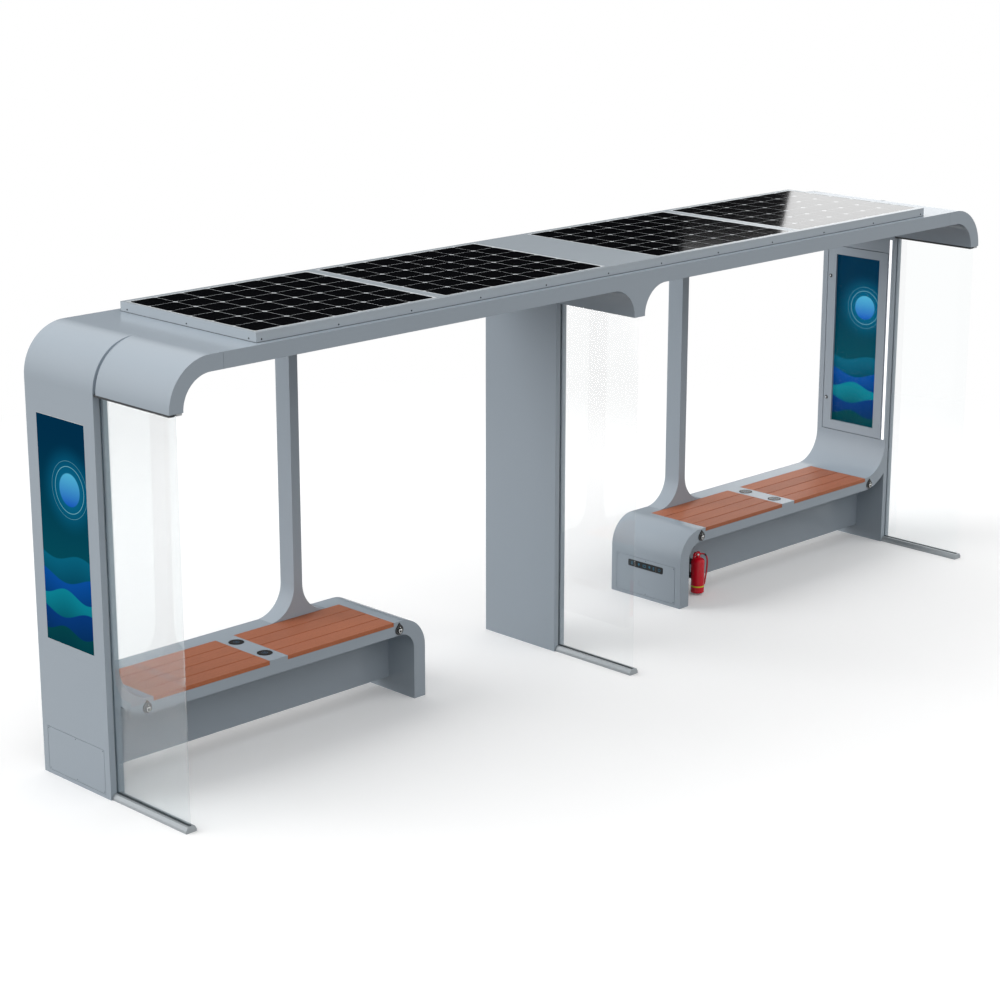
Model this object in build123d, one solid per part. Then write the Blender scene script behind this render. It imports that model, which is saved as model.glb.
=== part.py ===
from build123d import *
import os
from math import acos, cos, radians, sin, sqrt

# A two-bay bus shelter: two mirrored bench units under one long solar roof, with a column
# between them.  X runs along the shelter, the open front faces -Y and Z is up.  The origin
# is on the ground, under the middle of the roof.

os.makedirs("parts", exist_ok=True)

# Driving dimensions, in millimetres
LENGTH = 7180
DEPTH = 1300
ROOF_TOP = 2600
RIBBON = 92                     # thickness of the folded band that makes roof, ends and benches
BODY_DEPTH = 636                # pylons, benches and column stand in the rear half

END_RADIUS = 278                # outer bend where roof turns down into an end
SWEEP_RADIUS = 225              # inner bend where a pylon sweeps out into its bench
SEAT_TOP = 534
LEG_OUTER_FACE = 1199           # distance of each bench leg from the middle of the shelter
LEG_RADIUS = 200
ROOF_JOINT = 1200               # roof sections meet here
END_JOINT = 2900                # end pieces reach in to here, under the solar tray
FASCIA_SEAM = 3227
SEAM = 1.5
REVEAL_WIDTH = 26               # groove between the front wing and its pylon
REVEAL_DEPTH = 19

POST_CENTRE = 1783
POST_WIDTH = 66
POST_DEPTH = 128
FLARE_RADIUS = 200
FLARE_TOE = 1                   # thickness of the flare where it runs out on the seat

BOARD_LENGTH = 840
BOARD_COUNT = 4
BOARD_GAP = 5
BOARD_THICKNESS = 26
MIDDLE_STRIP = 136              # bare metal between the two sets of boards
PAD_RADIUS = 47
PAD_RECESS = 6
PAD_PROUD = 2
PAD_SPACING = 266

APRON_FRONT = 250
APRON_BOTTOM = 85

TRAY_LENGTH = 5940
TRAY_FRONT = -606
TRAY_DEPTH = 1196
TRAY_HEIGHT = 56
PANEL_LENGTH = 1325
PANEL_DEPTH = 1136
PANEL_THICKNESS = 40
PANEL_INNER_END = 240           # the plain plate in the middle of the tray ends here
PANEL_SPACING = 65

GLASS = 10
GLASS_LINE = 3544               # distance of the end fins from the middle
GLASS_SLOT = 12
SLOT_DEPTH = 12
FIN_SETBACK = 10                # front edges of the fins, behind the front of the roof
RAIL_WIDTH = 72
RAIL_TOP_WIDTH = 48
RAIL_HEIGHT = 36
RAIL_SLOT_FLOOR = 14
CLAMP_HEIGHT = 14

SCREEN_WIDTH = 441
SCREEN_HEIGHT = 1308
SCREEN_BOTTOM = 826
SCREEN_THICKNESS = 20

DOOR_WIDTH = 540
DOOR_HEIGHT = 1398
DOOR_BOTTOM = 787
DOOR_THICKNESS = 20
DOOR_GAP = 5
VIEW_WIDTH = 392
VIEW_HEIGHT = 1268
VIEW_BOTTOM = 856
CASE_DEPTH = 44
BOARD_BACKING = 14
PANE = 5
PANE_LAP = 12
KNUCKLE_RADIUS = 5              # also how far the hinge pin stands in front of the door
KNUCKLE_LENGTH = 24
PIN_RADIUS = 2.5
PIN_CLEARANCE = 0.05
LOCK_RADIUS = 9
LOCK_INSET = 26
LOCK_HEIGHTS = (1026, 1957)

LED_WIDTH = 18
LED_BOTTOM = 789
LED_TOP = 2288
LED_PROUD = 4
LED_CENTRE = 38                 # Y of the light strip's centre line

HATCH_WIDTH = 536
HATCH_HEIGHT = 260
HATCH_BOTTOM = 25
HATCH_THICKNESS = 4
HATCH_GAP = 3
ICON_LENGTH = 320
ICON_HEIGHT = 48
ICON_CENTRE = 238
ICON_THICKNESS = 3
LABEL_LENGTH = 132              # shallow recess for a label under the bar
LABEL_HEIGHT = 40
LABEL_CENTRE = 100
LABEL_DEPTH = 1

HOOK_CENTRES = (1414, 3320)
HOOK_HEIGHT = 487
HOOK_WIDTH = 62
HOOK_TALL = 78
HOOK_THICKNESS = 6
LOOP_WIDTH = 24
LOOP_HEIGHT = 28
LOOP_BAR = 4
LOOP_BOSS = 8                   # height of the loop's broad top bar
LOOP_THICKNESS = 5
LOOP_STANDOFF = 8               # gap behind a hook's loop, for a bag's strap

BOTTLE_X = 1545
BOTTLE_Y = 150
BOTTLE_Z = 15
BOTTLE_RADIUS = 47
BOTTLE_HEIGHT = 258
NECK_RADIUS = 13
NECK_HEIGHT = 8
HOSE_RADIUS = 6
HOSE_TOP = 278                  # height of the valve's outlet above the bottle's base
OUTLET_RADIUS = 7
OUTLET_REACH = 22
HOSE_TURN = 20                  # the hose loop stands this many degrees forward of +X

# Worked out from the above
HALF_LENGTH = LENGTH / 2
HALF_DEPTH = DEPTH / 2
BODY_FRONT = HALF_DEPTH - BODY_DEPTH
BODY_MID = HALF_DEPTH - BODY_DEPTH / 2
SOFFIT = ROOF_TOP - RIBBON
INNER_END_RADIUS = END_RADIUS - RIBBON
WING_BOTTOM = ROOF_TOP - END_RADIUS - 2
PYLON_INNER = HALF_LENGTH - RIBBON
FIN_FRONT = -HALF_DEPTH + FIN_SETBACK
SWEEP_START = PYLON_INNER - SWEEP_RADIUS
SWEEP_TOP = SEAT_TOP + SWEEP_RADIUS
SEAT_UNDERSIDE = SEAT_TOP - RIBBON
LEG_INNER_FACE = LEG_OUTER_FACE + RIBBON
POST_FRONT = HALF_DEPTH - POST_DEPTH
PANEL_SECTION_BOTTOM = SWEEP_TOP + 11
PANEL_SECTION_TOP = DOOR_BOTTOM + DOOR_HEIGHT + 25
TRAY_TOP = ROOF_TOP + TRAY_HEIGHT
HINGE_Y = BODY_MID - DOOR_WIDTH / 2 - DOOR_GAP / 2
HINGE_X = PYLON_INNER - KNUCKLE_RADIUS


def block(x0, x1, y0, y1, z0, z1):
    """A box between two corners."""
    size = (abs(x1 - x0), abs(y1 - y0), abs(z1 - z0))
    return Pos((x0 + x1) / 2, (y0 + y1) / 2, (z0 + z1) / 2) * Box(*size)


def outline(corners):
    """A face in the XZ plane from (x, z, corner radius) triples."""
    points = [(x, z) for x, z, _ in corners]
    return make_face(FilletPolyline(*points, radius=[r for _, _, r in corners], close=True))


def drawn_along_y(face, y0, y1):
    """Draw a face of the XZ plane out from y0 to y1."""
    return extrude(Plane.XZ.offset(-y1) * face, amount=y1 - y0)


def mirrored(shape):
    """The same piece on the other end of the shelter."""
    return mirror(shape, about=Plane.YZ)


def rounded_plate(width, height, radius, thickness):
    """A plate facing +X, centred on the origin, with its back on the YZ plane."""
    return extrude(Plane.YZ * RectangleRounded(width, height, radius), amount=thickness)


# All pieces of a unit are written for the right-hand end (+X) and mirrored for the left.

def glass_slot():
    """The groove down the front of a pylon that takes the edge of the glass fin."""
    half = GLASS_SLOT / 2
    return block(GLASS_LINE - half, GLASS_LINE + half,
                 BODY_FRONT, BODY_FRONT + SLOT_DEPTH, -1, WING_BOTTOM)


def hatch_recess(face_x, direction):
    """The shallow seat of a screwed access plate on a face at face_x."""
    half = HATCH_WIDTH / 2 + HATCH_GAP
    return block(face_x, face_x - direction * HATCH_THICKNESS, BODY_MID - half, BODY_MID + half,
                 HATCH_BOTTOM - HATCH_GAP, HATCH_BOTTOM + HATCH_HEIGHT + HATCH_GAP)


def hatch(face_x, direction):
    """A flush access plate in its recess."""
    half = HATCH_WIDTH / 2
    return block(face_x, face_x - direction * HATCH_THICKNESS, BODY_MID - half, BODY_MID + half,
                 HATCH_BOTTOM, HATCH_BOTTOM + HATCH_HEIGHT)


def leg_hatch():
    """A bench leg's access plate, with a shallow recess for a label."""
    half_length = LABEL_LENGTH / 2
    half_height = LABEL_HEIGHT / 2
    return hatch(LEG_OUTER_FACE, -1) - block(
        LEG_OUTER_FACE, LEG_OUTER_FACE + LABEL_DEPTH, BODY_MID - half_length, BODY_MID + half_length,
        LABEL_CENTRE - half_height, LABEL_CENTRE + half_height)


def pylon_foot():
    """The bottom of a pylon, with the ribbon that sweeps out of it into the bench."""
    slab = Pos(HALF_LENGTH - RIBBON / 2, PANEL_SECTION_BOTTOM / 2)
    slab *= Rectangle(RIBBON, PANEL_SECTION_BOTTOM)
    ring = Circle(SWEEP_RADIUS + RIBBON) - Circle(SWEEP_RADIUS)
    reach = SWEEP_RADIUS + RIBBON
    quarter = Pos(reach / 2, -reach / 2) * Rectangle(reach, reach)
    sweep = Pos(SWEEP_START, SWEEP_TOP) * (ring & quarter)
    foot = drawn_along_y(slab + sweep, BODY_FRONT, HALF_DEPTH)
    return foot - glass_slot() - hatch_recess(HALF_LENGTH, 1)


def pylon_panel():
    """The middle of a pylon: screen pocket outside, poster case inside."""
    panel = block(PYLON_INNER, HALF_LENGTH, BODY_FRONT, HALF_DEPTH,
                  PANEL_SECTION_BOTTOM, PANEL_SECTION_TOP)
    panel -= block(HALF_LENGTH - SCREEN_THICKNESS, HALF_LENGTH,
                   BODY_MID - SCREEN_WIDTH / 2, BODY_MID + SCREEN_WIDTH / 2,
                   SCREEN_BOTTOM, SCREEN_BOTTOM + SCREEN_HEIGHT)
    rebate = DOOR_WIDTH / 2 + DOOR_GAP
    panel -= block(PYLON_INNER, PYLON_INNER + DOOR_THICKNESS + DOOR_GAP,
                   BODY_MID - rebate, BODY_MID + rebate,
                   DOOR_BOTTOM - DOOR_GAP, DOOR_BOTTOM + DOOR_HEIGHT + DOOR_GAP)
    cavity = VIEW_WIDTH / 2 + 2 * PANE_LAP
    panel -= block(PYLON_INNER, PYLON_INNER + CASE_DEPTH, BODY_MID - cavity, BODY_MID + cavity,
                   VIEW_BOTTOM - 2 * PANE_LAP, VIEW_BOTTOM + VIEW_HEIGHT + 2 * PANE_LAP)
    return panel - glass_slot()


def poster_board():
    """The lit board at the back of the poster case."""
    half = VIEW_WIDTH / 2 + PANE_LAP
    back = PYLON_INNER + CASE_DEPTH
    return block(back - BOARD_BACKING, back, BODY_MID - half, BODY_MID + half,
                 VIEW_BOTTOM - PANE_LAP, VIEW_BOTTOM + VIEW_HEIGHT + PANE_LAP)


def end_bend(y0, y1, outer_face=HALF_LENGTH):
    """Roof ribbon that turns down at an end, between two depths."""
    corners = [
        (END_JOINT, ROOF_TOP, 0),
        (outer_face, ROOF_TOP, END_RADIUS),
        (outer_face, WING_BOTTOM, 0),
        (PYLON_INNER, WING_BOTTOM, 0),
        (PYLON_INNER, SOFFIT, INNER_END_RADIUS),
        (END_JOINT, SOFFIT, 0),
    ]
    return drawn_along_y(outline(corners), y0, y1)


def pylon_shoulder():
    """The top of a pylon, bending over into the roof."""
    stem = block(PYLON_INNER, HALF_LENGTH, BODY_FRONT, HALF_DEPTH, PANEL_SECTION_TOP, WING_BOTTOM)
    return end_bend(BODY_FRONT, HALF_DEPTH) + stem - glass_slot()


def wing():
    """The front half of an end, above the glass fin, with a narrower neck against its pylon."""
    neck_front = BODY_FRONT - REVEAL_WIDTH
    body = end_bend(-HALF_DEPTH, neck_front)
    body += end_bend(neck_front, BODY_FRONT, HALF_LENGTH - REVEAL_DEPTH)
    seam = block(FASCIA_SEAM - SEAM / 2, FASCIA_SEAM + SEAM / 2,
                 -HALF_DEPTH, -HALF_DEPTH + SEAM, SOFFIT, ROOF_TOP)
    return body - seam


def roof_section(x0, x1):
    """A plain length of roof between two joints."""
    return block(x0, x1, -HALF_DEPTH, HALF_DEPTH, SOFFIT, ROOF_TOP)


def centre_roof():
    """The middle roof section, whose underside curves down to the column and the glass fin."""
    half = RIBBON / 2
    corners = [
        (-ROOF_JOINT, ROOF_TOP, 0),
        (ROOF_JOINT, ROOF_TOP, 0),
        (ROOF_JOINT, SOFFIT, 0),
        (half, SOFFIT, INNER_END_RADIUS),
        (half, WING_BOTTOM, 0),
        (-half, WING_BOTTOM, 0),
        (-half, SOFFIT, INNER_END_RADIUS),
        (-ROOF_JOINT, SOFFIT, 0),
    ]
    return drawn_along_y(outline(corners), -HALF_DEPTH, HALF_DEPTH)


def centre_column():
    """The slab under the middle of the roof, grooved in front for its glass fin."""
    half = RIBBON / 2
    slab = block(-half, half, BODY_FRONT, HALF_DEPTH, 0, WING_BOTTOM)
    groove = GLASS_SLOT / 2
    return slab - block(-groove, groove, BODY_FRONT, BODY_FRONT + SLOT_DEPTH, 0, WING_BOTTOM)


def board_bays():
    """The X ranges of the two sets of boards on one bench."""
    middle = (LEG_OUTER_FACE + LEG_RADIUS + 58 + SWEEP_START) / 2
    near = middle - MIDDLE_STRIP / 2
    far = middle + MIDDLE_STRIP / 2
    return ((near - BOARD_LENGTH, near), (far, SWEEP_START))


def pad_places():
    """The centres of the two charging pads in a bench's middle strip."""
    x = (board_bays()[0][1] + board_bays()[1][0]) / 2
    y = (BODY_FRONT + POST_FRONT) / 2 + 8
    return ((x, y - PAD_SPACING / 2), (x, y + PAD_SPACING / 2))


def bench_frame():
    """The flat seat ribbon and the leg it turns down into, with recesses for boards and pads."""
    corners = [
        (SWEEP_START, SEAT_TOP, 0),
        (LEG_OUTER_FACE, SEAT_TOP, LEG_RADIUS),
        (LEG_OUTER_FACE, 0, 0),
        (LEG_INNER_FACE, 0, 0),
        (LEG_INNER_FACE, SEAT_UNDERSIDE, LEG_RADIUS - RIBBON),
        (SWEEP_START, SEAT_UNDERSIDE, 0),
    ]
    frame = drawn_along_y(outline(corners), BODY_FRONT, HALF_DEPTH)
    for x0, x1 in board_bays():
        frame -= block(x0, x1, BODY_FRONT, POST_FRONT, SEAT_TOP - BOARD_THICKNESS, SEAT_TOP)
    for x, y in pad_places():
        frame -= Pos(x, y, SEAT_TOP - PAD_RECESS / 2) * Cylinder(PAD_RADIUS, PAD_RECESS)
    return frame - hatch_recess(LEG_OUTER_FACE, -1)


def seat_boards():
    """Four long boards in each bay of a bench, with open joints between them."""
    pitch = (POST_FRONT - BODY_FRONT + BOARD_GAP) / BOARD_COUNT
    boards = []
    for x0, x1 in board_bays():
        for i in range(BOARD_COUNT):
            y0 = BODY_FRONT + i * pitch
            boards.append(block(x0, x1, y0, y0 + pitch - BOARD_GAP,
                                SEAT_TOP - BOARD_THICKNESS, SEAT_TOP))
    return boards


def charging_pads():
    """Two round charging pads, standing a little above the seat."""
    height = PAD_RECESS + PAD_PROUD
    z = SEAT_TOP + PAD_PROUD - height / 2
    return [Pos(x, y, z) * Cylinder(PAD_RADIUS, height) for x, y in pad_places()]


def rear_post():
    """A slender post that flares out onto the back of the bench."""
    half = POST_WIDTH / 2
    reach = sqrt(FLARE_RADIUS**2 - (FLARE_RADIUS - FLARE_TOE)**2)
    shaft = Pos(POST_CENTRE, (SEAT_TOP + SOFFIT) / 2) * Rectangle(POST_WIDTH, SOFFIT - SEAT_TOP)
    foot_width = 2 * (half + FLARE_RADIUS - reach)
    foot = Pos(POST_CENTRE, SEAT_TOP + FLARE_RADIUS / 2) * Rectangle(foot_width, FLARE_RADIUS)
    for side in (-1, 1):
        centre = Pos(POST_CENTRE + side * (half + FLARE_RADIUS), SEAT_TOP + FLARE_RADIUS)
        foot -= centre * Circle(FLARE_RADIUS)
    return drawn_along_y(shaft + foot, POST_FRONT, HALF_DEPTH)


def apron():
    """The closed box under a bench, clear of the ground and shaped to the ribbon above it."""
    corners = [
        (LEG_INNER_FACE, APRON_BOTTOM, 0),
        (PYLON_INNER, APRON_BOTTOM, 0),
        (PYLON_INNER, SEAT_TOP, 0),
        (SWEEP_START, SEAT_TOP, 0),
        (SWEEP_START, SEAT_UNDERSIDE, 0),
        (LEG_INNER_FACE, SEAT_UNDERSIDE, LEG_RADIUS - RIBBON),
    ]
    face = outline(corners) - Pos(SWEEP_START, SWEEP_TOP) * Circle(SWEEP_RADIUS + RIBBON)
    return drawn_along_y(face, APRON_FRONT, 2 * BODY_MID - APRON_FRONT)


def glass_fin(x):
    """An upright sheet of glass between a floor rail and the roof."""
    return block(x - GLASS / 2, x + GLASS / 2, FIN_FRONT, BODY_FRONT + SLOT_DEPTH - 1,
                 RAIL_SLOT_FLOOR, WING_BOTTOM)


def floor_rail(x):
    """A low rail with sloping sides and a slot for the glass."""
    corners = [
        (-RAIL_WIDTH / 2, 0), (RAIL_WIDTH / 2, 0), (RAIL_WIDTH / 2, RAIL_HEIGHT * 0.45),
        (RAIL_TOP_WIDTH / 2, RAIL_HEIGHT), (-RAIL_TOP_WIDTH / 2, RAIL_HEIGHT),
        (-RAIL_WIDTH / 2, RAIL_HEIGHT * 0.45),
    ]
    section = make_face(Polyline(*corners, close=True))
    slot = block(-GLASS / 2, GLASS / 2, FIN_FRONT, BODY_FRONT, RAIL_SLOT_FLOOR, RAIL_HEIGHT)
    return Pos(x, 0, 0) * (drawn_along_y(section, -HALF_DEPTH, BODY_FRONT) - slot)


def wing_clamps():
    """The two dark bars that grip the top of an end fin under its wing."""
    inner = (PYLON_INNER + 4, GLASS_LINE - GLASS / 2)
    outer = (GLASS_LINE + GLASS / 2, HALF_LENGTH - 4)
    return [block(x0, x1, -HALF_DEPTH + 6, BODY_FRONT - 4, WING_BOTTOM - CLAMP_HEIGHT, WING_BOTTOM)
            for x0, x1 in (inner, outer)]


def outer_screen():
    """The flush screen on the outside of a pylon."""
    return block(HALF_LENGTH - SCREEN_THICKNESS, HALF_LENGTH,
                 BODY_MID - SCREEN_WIDTH / 2, BODY_MID + SCREEN_WIDTH / 2,
                 SCREEN_BOTTOM, SCREEN_BOTTOM + SCREEN_HEIGHT)


def lock_places():
    """Y and Z of the two locks on a poster door."""
    return [(BODY_MID + DOOR_WIDTH / 2 - LOCK_INSET, z) for z in LOCK_HEIGHTS]


def knuckle_heights():
    """Z of the middle of the upper and lower hinge."""
    return (DOOR_BOTTOM + 90, DOOR_BOTTOM + DOOR_HEIGHT - 90)


def case_door():
    """The flush frame of a poster case, with its hinge knuckles."""
    back = PYLON_INNER + DOOR_THICKNESS
    door = block(PYLON_INNER, back, BODY_MID - DOOR_WIDTH / 2, BODY_MID + DOOR_WIDTH / 2,
                 DOOR_BOTTOM, DOOR_BOTTOM + DOOR_HEIGHT)
    half = VIEW_WIDTH / 2
    door -= block(PYLON_INNER, back, BODY_MID - half, BODY_MID + half,
                  VIEW_BOTTOM, VIEW_BOTTOM + VIEW_HEIGHT)
    door -= block(back - PANE, back, BODY_MID - half - PANE_LAP, BODY_MID + half + PANE_LAP,
                  VIEW_BOTTOM - PANE_LAP, VIEW_BOTTOM + VIEW_HEIGHT + PANE_LAP)
    for y, z in lock_places():
        lock_hole = Plane.YZ.offset(PYLON_INNER) * Pos(y, z) * Circle(LOCK_RADIUS)
        door -= extrude(lock_hole, amount=DOOR_THICKNESS)
    for z in knuckle_heights():
        barrel = Pos(HINGE_X, HINGE_Y, z) * Cylinder(KNUCKLE_RADIUS, KNUCKLE_LENGTH)
        leaf = block(HINGE_X - 1, PYLON_INNER, HINGE_Y, HINGE_Y + 24,
                     z - KNUCKLE_LENGTH / 2, z + KNUCKLE_LENGTH / 2)
        bore = Pos(HINGE_X, HINGE_Y, z) * Cylinder(PIN_RADIUS + PIN_CLEARANCE, KNUCKLE_LENGTH)
        door += barrel + leaf
        door -= bore
    return door


def case_glass():
    """The pane in the rebate behind a poster door's frame."""
    back = PYLON_INNER + DOOR_THICKNESS
    half = VIEW_WIDTH / 2 + PANE_LAP
    return block(back - PANE, back, BODY_MID - half, BODY_MID + half,
                 VIEW_BOTTOM - PANE_LAP, VIEW_BOTTOM + VIEW_HEIGHT + PANE_LAP)


def case_locks():
    """Two round locks through a poster door."""
    locks = []
    for y, z in lock_places():
        face = Plane.YZ.offset(PYLON_INNER - 2) * Pos(y, z) * Circle(LOCK_RADIUS)
        locks.append(extrude(face, amount=DOOR_THICKNESS + 2))
    return Compound(children=locks)


def case_hinges():
    """The fixed halves of a poster door's hinges: end knuckles, pin and leaf."""
    hinges = []
    for z in knuckle_heights():
        hinge = Pos(HINGE_X, HINGE_Y, z) * Cylinder(PIN_RADIUS, KNUCKLE_LENGTH + 6)
        for side in (-1, 1):
            middle = z + side * (KNUCKLE_LENGTH + 1)
            hinge += Pos(HINGE_X, HINGE_Y, middle) * Cylinder(KNUCKLE_RADIUS, KNUCKLE_LENGTH)
            hinge += block(HINGE_X - 1, PYLON_INNER, HINGE_Y - 10, HINGE_Y,
                           middle - KNUCKLE_LENGTH / 2, middle + KNUCKLE_LENGTH / 2)
        hinges.append(hinge)
    return hinges


def led_strip():
    """The light strip beside a poster case."""
    return block(PYLON_INNER - LED_PROUD, PYLON_INNER, LED_CENTRE - LED_WIDTH / 2,
                 LED_CENTRE + LED_WIDTH / 2, LED_BOTTOM, LED_TOP)


def icon_strip():
    """The dark rounded bar of symbols on a bench leg's access plate."""
    plate = rounded_plate(ICON_LENGTH, ICON_HEIGHT, 10, ICON_THICKNESS)
    return Pos(LEG_OUTER_FACE - ICON_THICKNESS, BODY_MID, ICON_CENTRE) * plate


def bag_hooks():
    """Teardrop badges at both ends of a bench's front edge, each with a loop on a stud."""
    radius = HOOK_WIDTH / 2
    tip = HOOK_TALL - radius
    angle = acos(radius / tip)
    tangent = (radius * sin(angle), radius * cos(angle))
    point = make_face(Polyline((-tangent[0], tangent[1]), (0, tip), tangent, close=True))
    drop = Circle(radius) + point
    half = LOOP_WIDTH / 2
    foot = LOOP_BOSS - LOOP_HEIGHT
    loop = outline([(-half, LOOP_BOSS, 0), (half, LOOP_BOSS, 0), (half, foot, 11), (-half, foot, 11)])
    half -= LOOP_BAR
    foot += LOOP_BAR
    loop -= outline([(-half, 0, 0), (half, 0, 0), (half, foot, 7), (-half, foot, 7)])
    stud = Pos(0, LOOP_BOSS / 2) * Rectangle(LOOP_WIDTH / 2, LOOP_BOSS)
    low = HOOK_HEIGHT - HOOK_TALL / 2 + radius
    badge_front = BODY_FRONT - HOOK_THICKNESS
    loop_back = badge_front - LOOP_STANDOFF
    hooks = []
    for x in HOOK_CENTRES:
        place = Pos(x, low)
        hook = drawn_along_y(place * drop, badge_front, BODY_FRONT)
        hook += drawn_along_y(place * loop, loop_back - LOOP_THICKNESS, loop_back)
        hook += drawn_along_y(place * stud, loop_back, badge_front)
        hooks.append(hook)
    return hooks


def solar_places():
    """The X ranges of the four panels, from left to right."""
    inner = (PANEL_INNER_END, PANEL_INNER_END + PANEL_LENGTH)
    outer = (inner[1] + PANEL_SPACING, inner[1] + PANEL_SPACING + PANEL_LENGTH)
    return [(-outer[1], -outer[0]), (-inner[1], -inner[0]), inner, outer]


def solar_panel(x0, x1):
    """One framed solar panel, flush with the top of its tray."""
    y0 = TRAY_FRONT + (TRAY_DEPTH - PANEL_DEPTH) / 2
    return block(x0, x1, y0, y0 + PANEL_DEPTH, TRAY_TOP - PANEL_THICKNESS, TRAY_TOP)


def solar_tray():
    """The long shallow box on the roof that holds the panels."""
    tray = block(-TRAY_LENGTH / 2, TRAY_LENGTH / 2, TRAY_FRONT, TRAY_FRONT + TRAY_DEPTH,
                 ROOF_TOP, TRAY_TOP)
    for x0, x1 in solar_places():
        tray -= solar_panel(x0, x1)
    return tray


def extinguisher_bottle():
    """A small steel bottle with a sloping shoulder and a short neck."""
    top = BOTTLE_HEIGHT - 4
    profile = [
        (0, 0), (BOTTLE_RADIUS, 0), (BOTTLE_RADIUS, top - 25), (BOTTLE_RADIUS - 11, top - 6),
        (NECK_RADIUS, top), (NECK_RADIUS, BOTTLE_HEIGHT + NECK_HEIGHT),
        (0, BOTTLE_HEIGHT + NECK_HEIGHT),
    ]
    bottle = revolve(Plane.XZ * make_face(Polyline(*profile, close=True)), Axis.Z)
    return Pos(BOTTLE_X, BOTTLE_Y, BOTTLE_Z) * bottle


def hose_direction(distance, height):
    """A point of the hose's upright plane, seen from the bottle's axis."""
    turn = radians(-HOSE_TURN)
    return (BOTTLE_X + distance * cos(turn), BOTTLE_Y + distance * sin(turn), BOTTLE_Z + height)


def extinguisher_valve():
    """Valve block with a curved squeeze lever above a short carrying handle."""
    base = BOTTLE_Z + BOTTLE_HEIGHT + NECK_HEIGHT
    valve = Pos(BOTTLE_X, BOTTLE_Y, base + 12) * Cylinder(14, 24)
    handle = [(-30, 4, 0), (10, 4, 0), (10, 11, 0), (-30, 11, 0)]
    lever = [(-50, -8, 0), (-43, -8, 0), (-37, 24, 14), (10, 24, 0), (10, 31, 0), (-43, 31, 20)]
    for shape in (handle, lever):
        bar = drawn_along_y(outline(shape), -7, 7)
        valve += Pos(BOTTLE_X, BOTTLE_Y, base) * bar
    start = hose_direction(0, HOSE_TOP)
    outlet = Plane(origin=start, z_dir=Vector(hose_direction(1, HOSE_TOP)) - Vector(start))
    return valve + extrude(outlet * Circle(OUTLET_RADIUS), amount=OUTLET_REACH)


def extinguisher_hose():
    """The discharge hose, from the valve's side down to the clip low on the bottle."""
    route = [(OUTLET_REACH, HOSE_TOP), (66, HOSE_TOP), (80, HOSE_TOP - 92),
             (BOTTLE_RADIUS + HOSE_RADIUS + 1, 50)]
    points = [hose_direction(*place) for place in route]
    path = FilletPolyline(*points, radius=[30, 60])
    section = Plane(origin=path @ 0, z_dir=path % 0) * Circle(HOSE_RADIUS)
    return sweep(section, path=path)


def extinguisher_bracket():
    """The wall bracket on the apron, whose two cradles hold the bottle from behind."""
    bracket = block(BOTTLE_X - 60, BOTTLE_X + 28, APRON_FRONT - 4, APRON_FRONT,
                    BOTTLE_Z + 85, BOTTLE_Z + 255)
    hollow = Pos(BOTTLE_X, BOTTLE_Y, BOTTLE_Z + 170) * Cylinder(BOTTLE_RADIUS + 0.5, 200)
    for z in (BOTTLE_Z + 110, BOTTLE_Z + 210):
        cradle = block(BOTTLE_X - 30, BOTTLE_X + 30, BOTTLE_Y + 30, APRON_FRONT - 4, z - 10, z + 10)
        bracket += cradle - hollow
    return bracket


def pair(shapes):
    """The given right-hand pieces and their mirror images, as one set."""
    return Compound(children=[*shapes, *[mirrored(shape) for shape in shapes]])


nodes = {
    "left_roof": roof_section(-END_JOINT, -ROOF_JOINT),
    "centre_roof": centre_roof(),
    "right_roof": roof_section(ROOF_JOINT, END_JOINT),
    "centre_column": centre_column(),
    "solar_tray": solar_tray(),
    "solar_panels": Compound(children=[solar_panel(*span) for span in solar_places()]),
    "floor_rails": Compound(children=[floor_rail(x) for x in (-GLASS_LINE, 0, GLASS_LINE)]),
    "seat_boards": pair(seat_boards()),
    "outer_screens": pair([outer_screen()]),
    "rear_posts": pair([rear_post()]),
    "wing_clamps": pair(wing_clamps()),
    "charging_pads": pair(charging_pads()),
    "bag_hooks": pair(bag_hooks()),
    "led_strips": pair([led_strip()]),
    "icon_strips": pair([icon_strip()]),
    "case_hinges": pair(case_hinges()),
    "poster_boards": pair([poster_board()]),
    "pylon_hatches": pair([hatch(HALF_LENGTH, 1)]),
    "leg_hatches": pair([leg_hatch()]),
    "extinguisher_bottle": extinguisher_bottle(),
    "extinguisher_valve": extinguisher_valve(),
    "extinguisher_hose": extinguisher_hose(),
    "extinguisher_bracket": extinguisher_bracket(),
}

for name, x in (("left", -GLASS_LINE), ("centre", 0), ("right", GLASS_LINE)):
    nodes[f"{name}_glass_fin"] = glass_fin(x)

for name, maker in (
    ("pylon_foot", pylon_foot),
    ("pylon_panel", pylon_panel),
    ("pylon_shoulder", pylon_shoulder),
    ("wing", wing),
    ("bench_frame", bench_frame),
    ("apron", apron),
    ("case_door", case_door),
    ("case_glass", case_glass),
    ("case_locks", case_locks),
):
    right = maker()
    nodes[f"right_{name}"] = right
    nodes[f"left_{name}"] = mirrored(right)

for name, shape in nodes.items():
    export_step(shape, f"parts/{name}.step")
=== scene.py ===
"""Finishes, fine pieces and studio for the two-bay bus shelter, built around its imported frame."""

import logging
import math
from collections.abc import Callable, Iterable
from dataclasses import dataclass
from enum import Enum

import bpy
from mathutils import Matrix, Vector


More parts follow.
